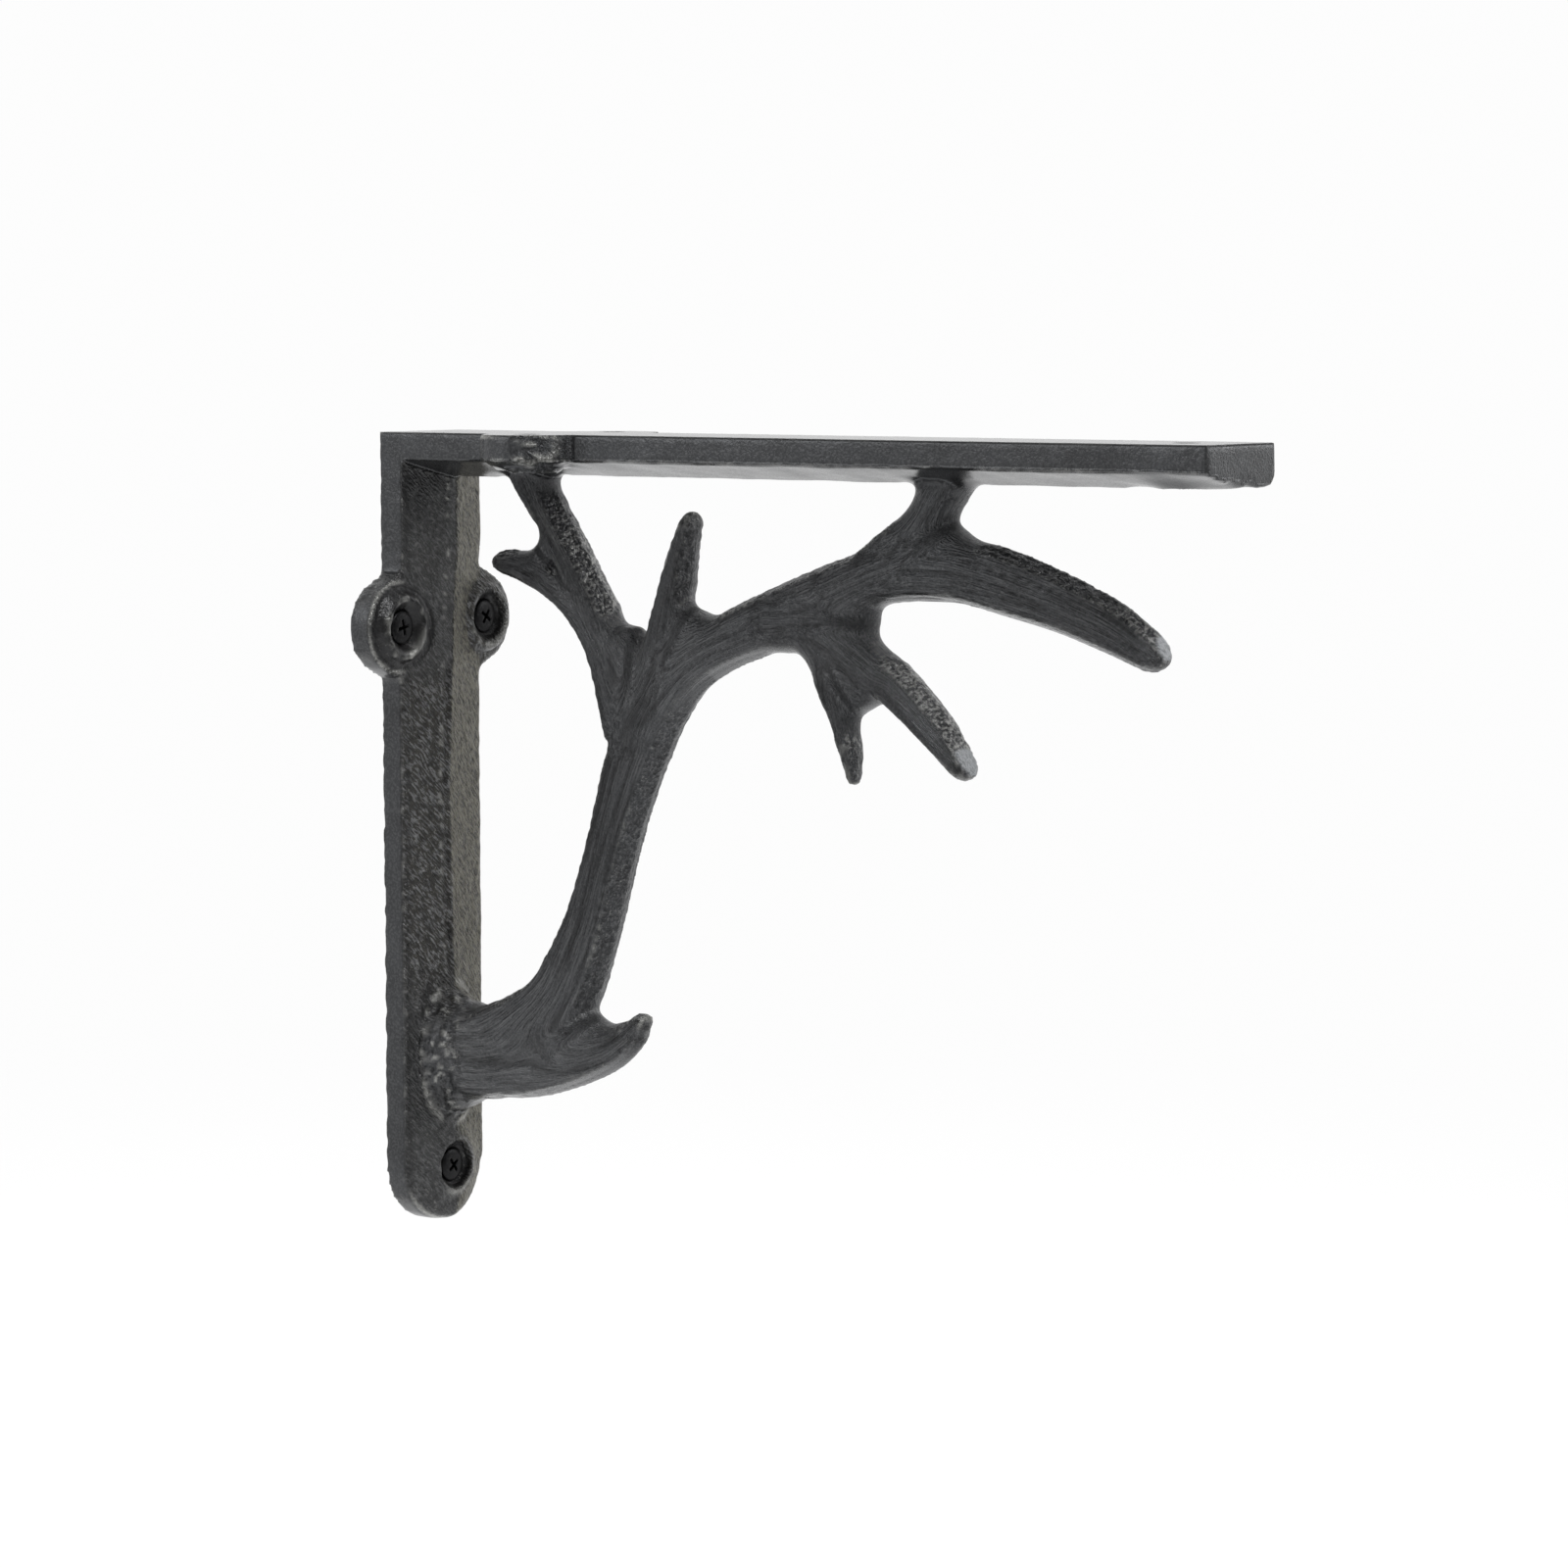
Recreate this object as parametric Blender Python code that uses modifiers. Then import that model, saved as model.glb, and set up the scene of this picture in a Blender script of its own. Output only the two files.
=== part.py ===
"""Cast-iron shelf bracket: a wall strap and a shelf arm, both ridged, braced by an antler.

Metres, +Z up. X runs out from the wall, Y runs across the bracket, and the antler lies in the
plane Y = 0. The origin is on the wall face, midway between the two upper wall screws.

The casting is drawn in millimetres in its own drawing frame, whose origin is the corner where
the wall face meets the shelf face, so that a height is a drop below the shelf.
"""

import math

import bmesh
import bpy
from mathutils import Matrix, Vector

MM = 0.001

# Straps
STRAP_WIDTH = 27.7
EDGE_THICKNESS = 5.7
RIDGE_THICKNESS = 9.2
WALL_LENGTH = 178.0
ARM_LENGTH = 208.5
CORNER_SWELL = 0.7
SWELL_FROM_CORNER = (26.0, 36.0)
# Where each ridge runs: (from the corner, across), the wall strap's being a little off true
WALL_RIDGE = ((0.0, 0.9), (30.0, 0.9), (55.0, -0.6), (80.0, -1.7), (113.0, -0.8), (140.0, 0.0))
ARM_RIDGE = ((0.0, 0.0),)

# Screw ears and holes, the same on both straps
EAR_FROM_CORNER = 42.5
EAR_STAGGER = 0.5
HOLE_SPACING = 29.0
EAR_RADIUS = 10.3
EAR_TANGENT_ANGLE = math.radians(65.0)
SHOULDER_RADIUS = 9.5
BOSS_RADIUS = 6.6
BOSS_THICKNESS = 7.4
END_HOLE_FROM_END = 12.5
END_PAD_RADIUS = 9.0
END_PAD_THICKNESS = 8.6
END_PAD_FLARE = 2.5
CHEEK_LENGTH = 7.0
HOLE_RADIUS = 2.4
COUNTERSINK_RADIUS = 4.8

# Wall screws
SCREW_HEAD_RADIUS = 3.65
SCREW_SHANK_RADIUS = 2.0
HEAD_BELOW_BOSS = 0.4
CUT_SHORT_OF_WALL = 0.3
RECESS_ARM = 2.3
RECESS_WIDTH = 0.9
RECESS_DEPTH = 1.6

# Pedicle and burr, where the antler springs from the wall strap
PEDICLE_DROP = 139.5
PEDICLE_HALF_HEIGHT = 16.0
PEDICLE_HALF_WIDTH = 10.5
PEDICLE_REACH = 11.5
BURR_REACH = 13.0
BURR_HALF_HEIGHT = 12.6
BURR_HALF_WIDTH = 8.4
BURR_TUBE = 1.7

# How the antler's branches are lofted and fused
SQUARENESS = 2.7
RING_SIDES = 20
STEPS_PER_SPAN = 4
TIP_STEPS = 4
VOXEL = 1.25
SMOOTHING_PASSES = 5
KEPT_SHARE = 0.22

# How far a branch's rounded end reaches beyond its last station, as a share of its half sizes
FREE_TIP = 0.75
BLUNT_WEB = 0.2

# Each branch of the antler: stations of (x, drop, half width in the plane, half thickness)
# along its middle line in millimetres, and how its far end is rounded: a free tip, the blunt end
# of a web that fills a crotch, or none where it ends inside something.
BRANCHES = {
    "beam": (
        (
            (13.3, 139.2, 10.6, 6.8),
            (22.3, 137.8, 10.8, 6.4),
            (32.0, 132.3, 9.9, 6.0),
            (39.6, 124.8, 8.3, 5.6),
            (44.5, 116.0, 7.4, 5.3),
            (48.7, 106.0, 6.5, 5.1),
            (52.8, 93.0, 6.0, 5.0),
            (56.4, 81.5, 6.2, 5.0),
            (60.6, 69.5, 7.0, 5.1),
            (66.3, 58.4, 7.2, 5.1),
            (74.1, 49.9, 6.6, 5.1),
            (84.3, 43.9, 6.3, 5.1),
            (96.3, 39.1, 6.8, 5.2),
            (108.3, 34.6, 6.9, 5.3),
            (120.3, 29.8, 6.4, 5.3),
            (132.3, 27.2, 6.5, 5.2),
            (144.3, 26.8, 7.1, 5.0),
            (156.3, 29.4, 6.9, 4.8),
            (168.3, 32.9, 6.2, 4.5),
            (179.3, 37.1, 5.6, 4.1),
            (187.6, 41.4, 4.5, 3.4),
        ),
        FREE_TIP,
    ),
    "brow_tine": (
        (
            (16.3, 140.0, 9.0, 6.2),
            (30.3, 139.9, 8.0, 5.8),
            (42.3, 137.6, 6.9, 5.2),
            (52.4, 134.6, 5.4, 4.6),
            (58.3, 131.2, 4.1, 3.9),
            (60.4, 129.2, 2.6, 3.0),
        ),
        FREE_TIP,
    ),
    "back_brace": (
        (
            (61.5, 64.0, 5.0, 4.6),
            (55.6, 48.2, 4.7, 4.8),
            (48.5, 35.6, 4.2, 4.9),
            (42.0, 25.1, 3.9, 4.9),
            (36.1, 16.2, 3.9, 5.0),
            (32.4, 9.0, 5.0, 5.3),
            (31.3, 3.5, 5.4, 5.3),
        ),
        None,
    ),
    "back_strand": (
        (
            (58.2, 65.0, 5.4, 4.6),
            (52.1, 47.6, 3.9, 4.8),
            (45.7, 38.3, 3.8, 4.8),
            (38.3, 32.4, 4.4, 4.6),
            (31.3, 29.5, 4.3, 4.2),
            (25.7, 28.8, 3.1, 3.3),
        ),
        FREE_TIP,
    ),
    "crown_tine": (
        (
            (64.1, 57.0, 4.8, 4.8),
            (68.3, 45.0, 4.7, 4.8),
            (70.6, 36.0, 4.1, 4.7),
            (72.3, 28.5, 3.3, 4.4),
            (74.5, 20.2, 2.4, 3.4),
        ),
        FREE_TIP,
    ),
    "front_brace": (
        (
            (116.3, 31.4, 5.4, 4.8),
            (126.5, 25.0, 6.2, 5.0),
            (134.0, 18.4, 5.5, 5.0),
            (138.2, 12.6, 5.3, 5.2),
            (140.9, 7.8, 5.6, 5.5),
            (141.6, 3.5, 6.0, 5.5),
        ),
        None,
    ),
    "fork_stem": (
        (
            (99.3, 38.4, 5.4, 5.0),
            (107.9, 41.2, 5.7, 5.1),
            (115.1, 45.6, 5.8, 5.1),
            (121.2, 50.0, 5.2, 5.0),
        ),
        None,
    ),
    "fork_front_tine": (
        (
            (110.3, 40.6, 5.4, 5.0),
            (121.1, 46.6, 5.2, 4.9),
            (130.4, 53.5, 4.8, 4.6),
            (137.9, 60.4, 4.3, 4.2),
            (143.1, 66.2, 3.4, 3.5),
        ),
        FREE_TIP,
    ),
    "fork_rear_tine": (
        (
            (107.2, 42.4, 4.4, 4.8),
            (111.3, 49.0, 4.2, 4.7),
            (114.2, 57.0, 3.5, 4.3),
            (116.0, 64.2, 2.5, 3.4),
            (116.9, 70.4, 1.4, 2.3),
        ),
        FREE_TIP,
    ),
    "crown_web": (
        (
            (61.5, 58.0, 5.0, 4.7),
            (59.8, 49.0, 4.4, 4.7),
            (59.7, 42.0, 3.0, 4.5),
        ),
        BLUNT_WEB,
    ),
    "crown_front_web": (
        (
            (72.0, 49.0, 4.0, 4.8),
            (75.5, 43.4, 5.0, 4.8),
            (78.0, 38.9, 4.3, 4.6),
        ),
        BLUNT_WEB,
    ),
    "strand_web": (
        (
            (38.5, 28.8, 3.6, 4.6),
            (35.4, 24.8, 2.8, 4.5),
        ),
        BLUNT_WEB,
    ),
    "front_brace_web": (
        (
            (139.5, 22.0, 4.2, 4.9),
            (143.8, 19.6, 2.5, 4.8),
        ),
        BLUNT_WEB,
    ),
    "fork_web": (
        (
            (117.6, 50.0, 3.4, 4.7),
            (120.9, 56.0, 3.4, 4.5),
        ),
        BLUNT_WEB,
    ),
    "fork_front_web": (
        (
            (116.0, 37.8, 4.2, 5.0),
            (121.7, 38.2, 2.7, 4.9),
        ),
        BLUNT_WEB,
    ),
    "fork_back_web": (
        (
            (101.5, 41.0, 4.0, 4.9),
            (99.8, 44.7, 2.8, 4.7),
        ),
        BLUNT_WEB,
    ),
    "brow_web": (
        (
            (45.5, 131.8, 4.2, 5.0),
            (50.2, 129.8, 2.7, 4.8),
        ),
        BLUNT_WEB,
    ),
}

DRAWING_TO_PART = Matrix.Translation((0.0, 0.0, EAR_FROM_CORNER * MM)) @ Matrix.Scale(MM, 4)
# A strap is drawn flat: x along it from the corner, y across it, z from its mounting face.
ARM_PLACE = Matrix(((1, 0, 0, 0), (0, -1, 0, 0), (0, 0, -1, 0), (0, 0, 0, 1)))
WALL_PLACE = Matrix(((0, 0, 1, 0), (0, 1, 0, 0), (-1, 0, 0, 0), (0, 0, 0, 1)))


def clear_scene():
    """Removes what the scene holds at the start."""
    for obj in list(bpy.data.objects):
        bpy.data.objects.remove(obj)


def new_collection(name, hidden=False):
    """Adds a collection to the scene."""
    collection = bpy.data.collections.new(name)
    collection.hide_render = hidden
    bpy.context.scene.collection.children.link(collection)
    return collection


def new_material(name, colour, roughness, metallic):
    """Makes a plain Principled material."""
    material = bpy.data.materials.new(name)
    material.use_nodes = True
    shader = material.node_tree.nodes["Principled BSDF"]
    shader.inputs["Base Color"].default_value = (*colour, 1.0)
    shader.inputs["Roughness"].default_value = roughness
    shader.inputs["Metallic"].default_value = metallic
    return material


def object_from(bm, name, collection, place=None):
    """Turns a bmesh drawn in millimetres into an object in the part's frame."""
    bmesh.ops.recalc_face_normals(bm, faces=bm.faces)
    matrix = DRAWING_TO_PART @ (place or Matrix.Identity(4))
    bm.transform(matrix)
    mesh = bpy.data.meshes.new(name)
    bm.to_mesh(mesh)
    bm.free()
    obj = bpy.data.objects.new(name, mesh)
    collection.objects.link(obj)
    return obj


def as_helper(obj):
    """Marks an object that only shapes another one."""
    obj.hide_render = True
    obj.display_type = "WIRE"
    return obj


def combine(obj, other, operation):
    """Adds an exact Boolean of obj with other."""
    modifier = obj.modifiers.new(f"{operation.lower()} {other.name}", "BOOLEAN")
    modifier.operation = operation
    modifier.object = other


def extruded(outline, low, high):
    """A prism over a closed outline of (x, y) points, from z = low to z = high."""
    bm = bmesh.new()
    face = bm.faces.new([bm.verts.new((x, y, low)) for x, y in outline])
    swept = bmesh.ops.extrude_face_region(bm, geom=[face])["geom"]
    raised = [item for item in swept if isinstance(item, bmesh.types.BMVert)]
    bmesh.ops.translate(bm, verts=raised, vec=(0.0, 0.0, high - low))
    return bm


def arc(centre_x, centre_y, radius, start, end, steps):
    """Points of an arc, both ends included."""
    turns = [start + (end - start) * i / steps for i in range(steps + 1)]
    return [(centre_x + radius * math.cos(a), centre_y + radius * math.sin(a)) for a in turns]


def strap_outline(length, rounded):
    """The strap seen square on to its mounting face, from the corner to its far end."""
    half = STRAP_WIDTH / 2
    if not rounded:
        return [(0.0, -half), (length, -half), (length, half), (0.0, half)]
    end = arc(length - half, 0.0, half, -math.pi / 2, math.pi / 2, 20)
    return [(0.0, -half), *end, (0.0, half)]


def ear_from_corner(side):
    """How far an ear's hole is from the corner: the casting has one ear a little farther out."""
    return EAR_FROM_CORNER - side * EAR_STAGGER


def ear_outline(side):
    """One ear: a round lobe over its hole, faired into the strap by two tangents."""
    hole_x = ear_from_corner(side)
    hole_y = HOLE_SPACING / 2
    inside = STRAP_WIDTH / 2 - 2.0
    sine, cosine = math.sin(EAR_TANGENT_ANGLE), math.cos(EAR_TANGENT_ANGLE)
    drop = hole_y + EAR_RADIUS * cosine - inside
    reach = EAR_RADIUS * sine + drop * cosine / sine
    lobe = arc(
        hole_x,
        hole_y,
        EAR_RADIUS,
        math.pi / 2 - EAR_TANGENT_ANGLE,
        math.pi / 2 + EAR_TANGENT_ANGLE,
        16,
    )
    outline = [(hole_x + reach, inside), *lobe, (hole_x - reach, inside)]
    return [(x, side * y) for x, y in outline]


def level(points, x):
    """The height at x of a line through (x, height) points, level beyond its ends."""
    if x <= points[0][0]:
        return points[0][1]
    for (x0, y0), (x1, y1) in zip(points, points[1:]):
        if x <= x1:
            return y0 + (y1 - y0) * (x - x0) / (x1 - x0)
    return points[-1][1]


def gable(length, ridge_line):
    """A bar with a low ridge that wanders on its free face, a little thicker at the corner."""
    half = STRAP_WIDTH / 2
    swell_end, plain_start = SWELL_FROM_CORNER
    swell_line = ((swell_end, CORNER_SWELL), (plain_start, 0.0))
    stops = sorted({0.0, swell_end, plain_start, length, *(x for x, _ in ridge_line)})
    bm = bmesh.new()
    rings = []
    for x in stops:
        swell = level(swell_line, x)
        section = (
            (-half, 0.0),
            (half, 0.0),
            (half, EDGE_THICKNESS + swell * 0.5),
            (level(ridge_line, x), RIDGE_THICKNESS + swell),
            (-half, EDGE_THICKNESS + swell * 0.5),
        )
        rings.append([bm.verts.new((x, y, z)) for y, z in section])
    for ring, following in zip(rings, rings[1:]):
        for i in range(len(ring)):
            j = (i + 1) % len(ring)
            bm.faces.new((ring[i], ring[j], following[j], following[i]))
    bm.faces.new(rings[0])
    bm.faces.new(rings[-1])
    bmesh.ops.triangulate(bm, faces=bm.faces)
    return bm


def cheek(length):
    """The fuller corner at the far end of the arm, on the side away from the viewer."""
    half = STRAP_WIDTH / 2
    outline = [
        (0.0, EDGE_THICKNESS - 3.0),
        (half, EDGE_THICKNESS - 3.0),
        (half, RIDGE_THICKNESS - 2.6),
        (half - 0.8, RIDGE_THICKNESS - 1.2),
        (half - 3.0, RIDGE_THICKNESS - 0.2),
        (0.0, RIDGE_THICKNESS),
    ]
    bm = extruded([(-y, z) for y, z in outline], length - CHEEK_LENGTH, length)
    bm.transform(Matrix(((0, 0, 1, 0), (1, 0, 0, 0), (0, 1, 0, 0), (0, 0, 0, 1))))
    inner = [v for v in bm.verts if v.co.x < length - 1.0 and v.co.z > EDGE_THICKNESS]
    bmesh.ops.translate(bm, verts=inner, vec=(0.0, 0.0, -1.0))
    return bm


def disc(x, y, radius, low, high, top_radius=None):
    """A cylinder, or a cone, that stands on a strap's mounting face side."""
    bm = bmesh.new()
    bmesh.ops.create_cone(
        bm,
        cap_ends=True,
        segments=32,
        radius1=radius,
        radius2=radius if top_radius is None else top_radius,
        depth=high - low,
    )
    bmesh.ops.translate(bm, verts=bm.verts, vec=(x, y, (low + high) / 2))
    return bm


def hole_cutter(x, y, face):
    """A clearance hole with a countersink that opens at height face."""
    bm = bmesh.new()
    cone_depth = COUNTERSINK_RADIUS - HOLE_RADIUS
    beyond = 2.0
    profile = [
        (0.0, -beyond),
        (HOLE_RADIUS, -beyond),
        (HOLE_RADIUS, face - cone_depth),
        (COUNTERSINK_RADIUS, face),
        (COUNTERSINK_RADIUS, RIDGE_THICKNESS + beyond),
        (0.0, RIDGE_THICKNESS + beyond),
    ]
    verts = [bm.verts.new((r, 0.0, z)) for r, z in profile]
    edges = [bm.edges.new(pair) for pair in zip(verts, verts[1:])]
    bmesh.ops.spin(
        bm,
        geom=verts + edges,
        axis=(0, 0, 1),
        cent=(0, 0, 0),
        angle=2 * math.pi,
        steps=28,
    )
    bmesh.ops.remove_doubles(bm, verts=bm.verts, dist=1e-4)
    bmesh.ops.translate(bm, verts=bm.verts, vec=(x, y, 0.0))
    return bm


def make_strap(name, length, ridge_line, rounded, place, parts, helpers):
    """One ridged strap with its ears, bosses and countersunk holes."""
    strap = object_from(gable(length, ridge_line), name, parts, place)
    end_x = length - END_HOLE_FROM_END
    above = RIDGE_THICKNESS + 4.0

    def helper(bm, label, operation):
        combine(strap, as_helper(object_from(bm, f"{name}_{label}", helpers, place)), operation)

    if rounded:
        helper(extruded(strap_outline(length, True), -1.0, above), "outline", "INTERSECT")
    pad = disc(
        end_x,
        0.0,
        END_PAD_RADIUS + END_PAD_FLARE,
        1.0,
        END_PAD_THICKNESS,
        END_PAD_RADIUS - 1.5,
    )
    helper(pad, "end_pad", "UNION")
    facing = disc(
        end_x, 0.0, END_PAD_RADIUS - 3.0, END_PAD_THICKNESS, above, END_PAD_RADIUS
    )
    helper(facing, "end_facing", "DIFFERENCE")
    if not rounded:
        helper(cheek(length), "end_cheek", "UNION")
    for label, side in (("ear_a", -1.0), ("ear_b", 1.0)):
        hole_x = ear_from_corner(side)
        hole_y = side * HOLE_SPACING / 2
        helper(extruded(ear_outline(side), 0.0, EDGE_THICKNESS + 0.2), label, "UNION")
        boss = disc(
            hole_x,
            hole_y,
            SHOULDER_RADIUS,
            EDGE_THICKNESS - 0.7,
            BOSS_THICKNESS,
            BOSS_RADIUS,
        )
        helper(boss, f"{label}_boss", "UNION")
        helper(hole_cutter(hole_x, hole_y, BOSS_THICKNESS), f"{label}_hole", "DIFFERENCE")
    helper(hole_cutter(end_x, 0.0, END_PAD_THICKNESS), "end_hole", "DIFFERENCE")
    return strap


def spline(stations, steps):
    """Stations interpolated by a Catmull-Rom spline, steps to each span."""
    rows = [Vector(row) for row in stations]
    rows = [2 * rows[0] - rows[1], *rows, 2 * rows[-1] - rows[-2]]
    found = []
    for before, a, b, after in zip(rows, rows[1:], rows[2:], rows[3:]):
        for i in range(steps):
            t = i / steps
            found.append(
                0.5
                * (
                    2 * a
                    + (b - before) * t
                    + (2 * before - 5 * a + 4 * b - after) * t**2
                    + (3 * a - before - 3 * b + after) * t**3
                )
            )
    return [*found, rows[-2]]


def section_ring(bm, centre, across, half_width, half_thickness):
    """A ring of the branch's rounded-square section."""
    ring = []
    for i in range(RING_SIDES):
        angle = 2 * math.pi * (i + 0.5) / RING_SIDES
        c, s = math.cos(angle), math.sin(angle)
        wide = math.copysign(abs(c) ** (2 / SQUARENESS), c) * half_width
        thick = math.copysign(abs(s) ** (2 / SQUARENESS), s) * half_thickness
        ring.append(bm.verts.new(centre + across * wide + Vector((0.0, thick, 0.0))))
    return ring


def add_branch(bm, stations, roundness):
    """Lofts one branch of the antler, with a rounded end where roundness is given."""
    rows = spline([(x, -drop, a, b) for x, drop, a, b in stations], STEPS_PER_SPAN)
    rings = []
    for i, (x, z, half_width, half_thickness) in enumerate(rows):
        ahead = rows[min(i + 1, len(rows) - 1)]
        behind = rows[max(i - 1, 0)]
        along = Vector((ahead[0] - behind[0], 0.0, ahead[1] - behind[1])).normalized()
        across = Vector((-along.z, 0.0, along.x))
        rings.append(
            section_ring(bm, Vector((x, 0.0, z)), across, half_width, half_thickness)
        )
    if roundness:
        x, z, half_width, half_thickness = rows[-1]
        reach = (half_width + half_thickness) * roundness
        for i in range(1, TIP_STEPS):
            turn = 0.5 * math.pi * i / TIP_STEPS
            centre = Vector((x, 0.0, z)) + along * reach * math.sin(turn)
            shrink = math.cos(turn)
            rings.append(
                section_ring(bm, centre, across, half_width * shrink, half_thickness * shrink)
            )
    for ring, following in zip(rings, rings[1:]):
        for i in range(RING_SIDES):
            j = (i + 1) % RING_SIDES
            bm.faces.new((ring[i], ring[j], following[j], following[i]))
    bm.faces.new(reversed(rings[0]))
    bm.faces.new(rings[-1])


def add_pedicle(bm):
    """The oval pad on the wall strap and the burr ring round the antler's root."""
    depth = PEDICLE_REACH - 2.0
    pad = bmesh.ops.create_cone(
        bm, cap_ends=True, segments=32, radius1=1.08, radius2=0.86, depth=1.0
    )["verts"]
    shape = Matrix(
        (
            (0, 0, depth, PEDICLE_REACH - depth / 2),
            (0, PEDICLE_HALF_WIDTH, 0, 0),
            (-PEDICLE_HALF_HEIGHT, 0, 0, -PEDICLE_DROP),
            (0, 0, 0, 1),
        )
    )
    bmesh.ops.transform(bm, matrix=shape, verts=pad)
    around, tube_sides = 36, 10
    burr = []
    for i in range(around):
        turn = 2 * math.pi * i / around
        out = Vector(
            (0.0, (BURR_HALF_WIDTH - BURR_TUBE) * math.cos(turn),
             (BURR_HALF_HEIGHT - BURR_TUBE) * math.sin(turn))
        )
        centre = Vector((BURR_REACH, 0.0, -PEDICLE_DROP)) + out
        outward = out.normalized()
        burr.append(
            [
                bm.verts.new(
                    centre
                    + outward * BURR_TUBE * math.cos(2 * math.pi * k / tube_sides)
                    + Vector((BURR_TUBE * math.sin(2 * math.pi * k / tube_sides), 0.0, 0.0))
                )
                for k in range(tube_sides)
            ]
        )
    for i, ring in enumerate(burr):
        following = burr[(i + 1) % around]
        for k in range(tube_sides):
            m = (k + 1) % tube_sides
            bm.faces.new((ring[k], ring[m], following[m], following[k]))


def make_antler(helpers):
    """All branches, the pedicle and the burr, fused into one skin with filleted forks."""
    bm = bmesh.new()
    for stations, roundness in BRANCHES.values():
        add_branch(bm, stations, roundness)
    add_pedicle(bm)
    antler = object_from(bm, "antler", helpers)
    fuse = antler.modifiers.new("fuse", "REMESH")
    fuse.mode = "VOXEL"
    fuse.voxel_size = VOXEL * MM
    fillet = antler.modifiers.new("fillet", "SMOOTH")
    fillet.factor = 0.5
    fillet.iterations = SMOOTHING_PASSES
    thin_out = antler.modifiers.new("thin out", "DECIMATE")
    thin_out.ratio = KEPT_SHARE
    return as_helper(antler)


def make_casting(parts, helpers, iron):
    """The whole bracket, which is one casting."""
    casting = make_strap(
        "bracket_casting", WALL_LENGTH, WALL_RIDGE, True, WALL_PLACE, parts, helpers
    )
    arm = make_strap("shelf_arm", ARM_LENGTH, ARM_RIDGE, False, ARM_PLACE, helpers, helpers)
    combine(casting, as_helper(arm), "UNION")
    combine(casting, make_antler(helpers), "UNION")
    casting.data.materials.append(iron)
    return casting


def screw_body(face):
    """A countersunk head on a plain shank, which is cut off at the wall face."""
    bm = bmesh.new()
    head_top = face - HEAD_BELOW_BOSS
    cone_depth = SCREW_HEAD_RADIUS - SCREW_SHANK_RADIUS
    profile = [
        (0.0, head_top + 0.25),
        (2.4, head_top + 0.2),
        (SCREW_HEAD_RADIUS - 0.3, head_top),
        (SCREW_HEAD_RADIUS, head_top - 0.3),
        (SCREW_SHANK_RADIUS, head_top - 0.3 - cone_depth),
        (SCREW_SHANK_RADIUS, CUT_SHORT_OF_WALL),
        (0.0, CUT_SHORT_OF_WALL),
    ]
    verts = [bm.verts.new((r, 0.0, z)) for r, z in profile]
    edges = [bm.edges.new(pair) for pair in zip(verts, verts[1:])]
    bmesh.ops.spin(
        bm,
        geom=verts + edges,
        axis=(0, 0, 1),
        cent=(0, 0, 0),
        angle=2 * math.pi,
        steps=24,
    )
    bmesh.ops.remove_doubles(bm, verts=bm.verts, dist=1e-4)
    return bm


def recess_bar(face, turn):
    """One of the two crossed slots of a screw's recess, which narrows with depth."""
    top = face - HEAD_BELOW_BOSS + 1.0
    floor = face - HEAD_BELOW_BOSS - RECESS_DEPTH
    bm = bmesh.new()
    bmesh.ops.create_cube(bm, size=1.0)
    bmesh.ops.scale(bm, verts=bm.verts, vec=(2 * RECESS_ARM, RECESS_WIDTH, top - floor))
    low = [v for v in bm.verts if v.co.z < 0]
    bmesh.ops.scale(bm, verts=low, vec=(0.45, 0.7, 1.0))
    bmesh.ops.translate(bm, verts=bm.verts, vec=(0.0, 0.0, (top + floor) / 2))
    bmesh.ops.rotate(bm, verts=bm.verts, matrix=Matrix.Rotation(turn, 3, "Z"))
    return bm


def make_screw(name, from_corner, across, face, turn, parts, helpers, steel):
    """One cross-recessed wall screw, seated in its countersink."""
    place = WALL_PLACE @ Matrix.Translation((from_corner, across, 0.0))
    screw = object_from(screw_body(face), name, parts, place)
    for label, angle in (("slot_a", turn), ("slot_b", turn + math.pi / 2)):
        bar = object_from(recess_bar(face, angle), f"{name}_{label}", helpers, place)
        combine(screw, as_helper(bar), "DIFFERENCE")
    screw.data.materials.append(steel)
    return screw


def main():
    """Builds the casting and its three wall screws."""
    clear_scene()
    parts = new_collection("antler_shelf_bracket")
    helpers = new_collection("cutters")
    iron = new_material("cast_iron", (0.045, 0.047, 0.05), 0.5, 0.35)
    steel = new_material("blackened_steel", (0.02, 0.02, 0.021), 0.45, 0.6)
    make_casting(parts, helpers, iron)
    half = HOLE_SPACING / 2
    screws = (
        ("wall_screw_left", ear_from_corner(-1.0), -half, BOSS_THICKNESS, math.radians(12.0)),
        ("wall_screw_right", ear_from_corner(1.0), half, BOSS_THICKNESS, math.radians(55.0)),
        (
            "wall_screw_lower",
            WALL_LENGTH - END_HOLE_FROM_END,
            0.0,
            END_PAD_THICKNESS,
            math.radians(38.0),
        ),
    )
    for name, from_corner, across, face, turn in screws:
        make_screw(name, from_corner, across, face, turn, parts, helpers, steel)


main()
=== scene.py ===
"""Looks of a cast-iron shelf bracket braced by a deer's antler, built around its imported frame.

The casting is drawn in millimetres in a drawing frame whose origin is the corner where the wall
face meets the shelf face: x runs out from the wall, y across the bracket, z up. The row's frame is
the same one in metres, with its origin on the wall face level with the upper wall screws.
"""

import logging
import math
import random
from collections.abc import Iterable, Sequence
from dataclasses import dataclass, field
from enum import Enum

import bmesh
import bpy
import numpy as np
from mathutils import Matrix, Vector, noise


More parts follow.
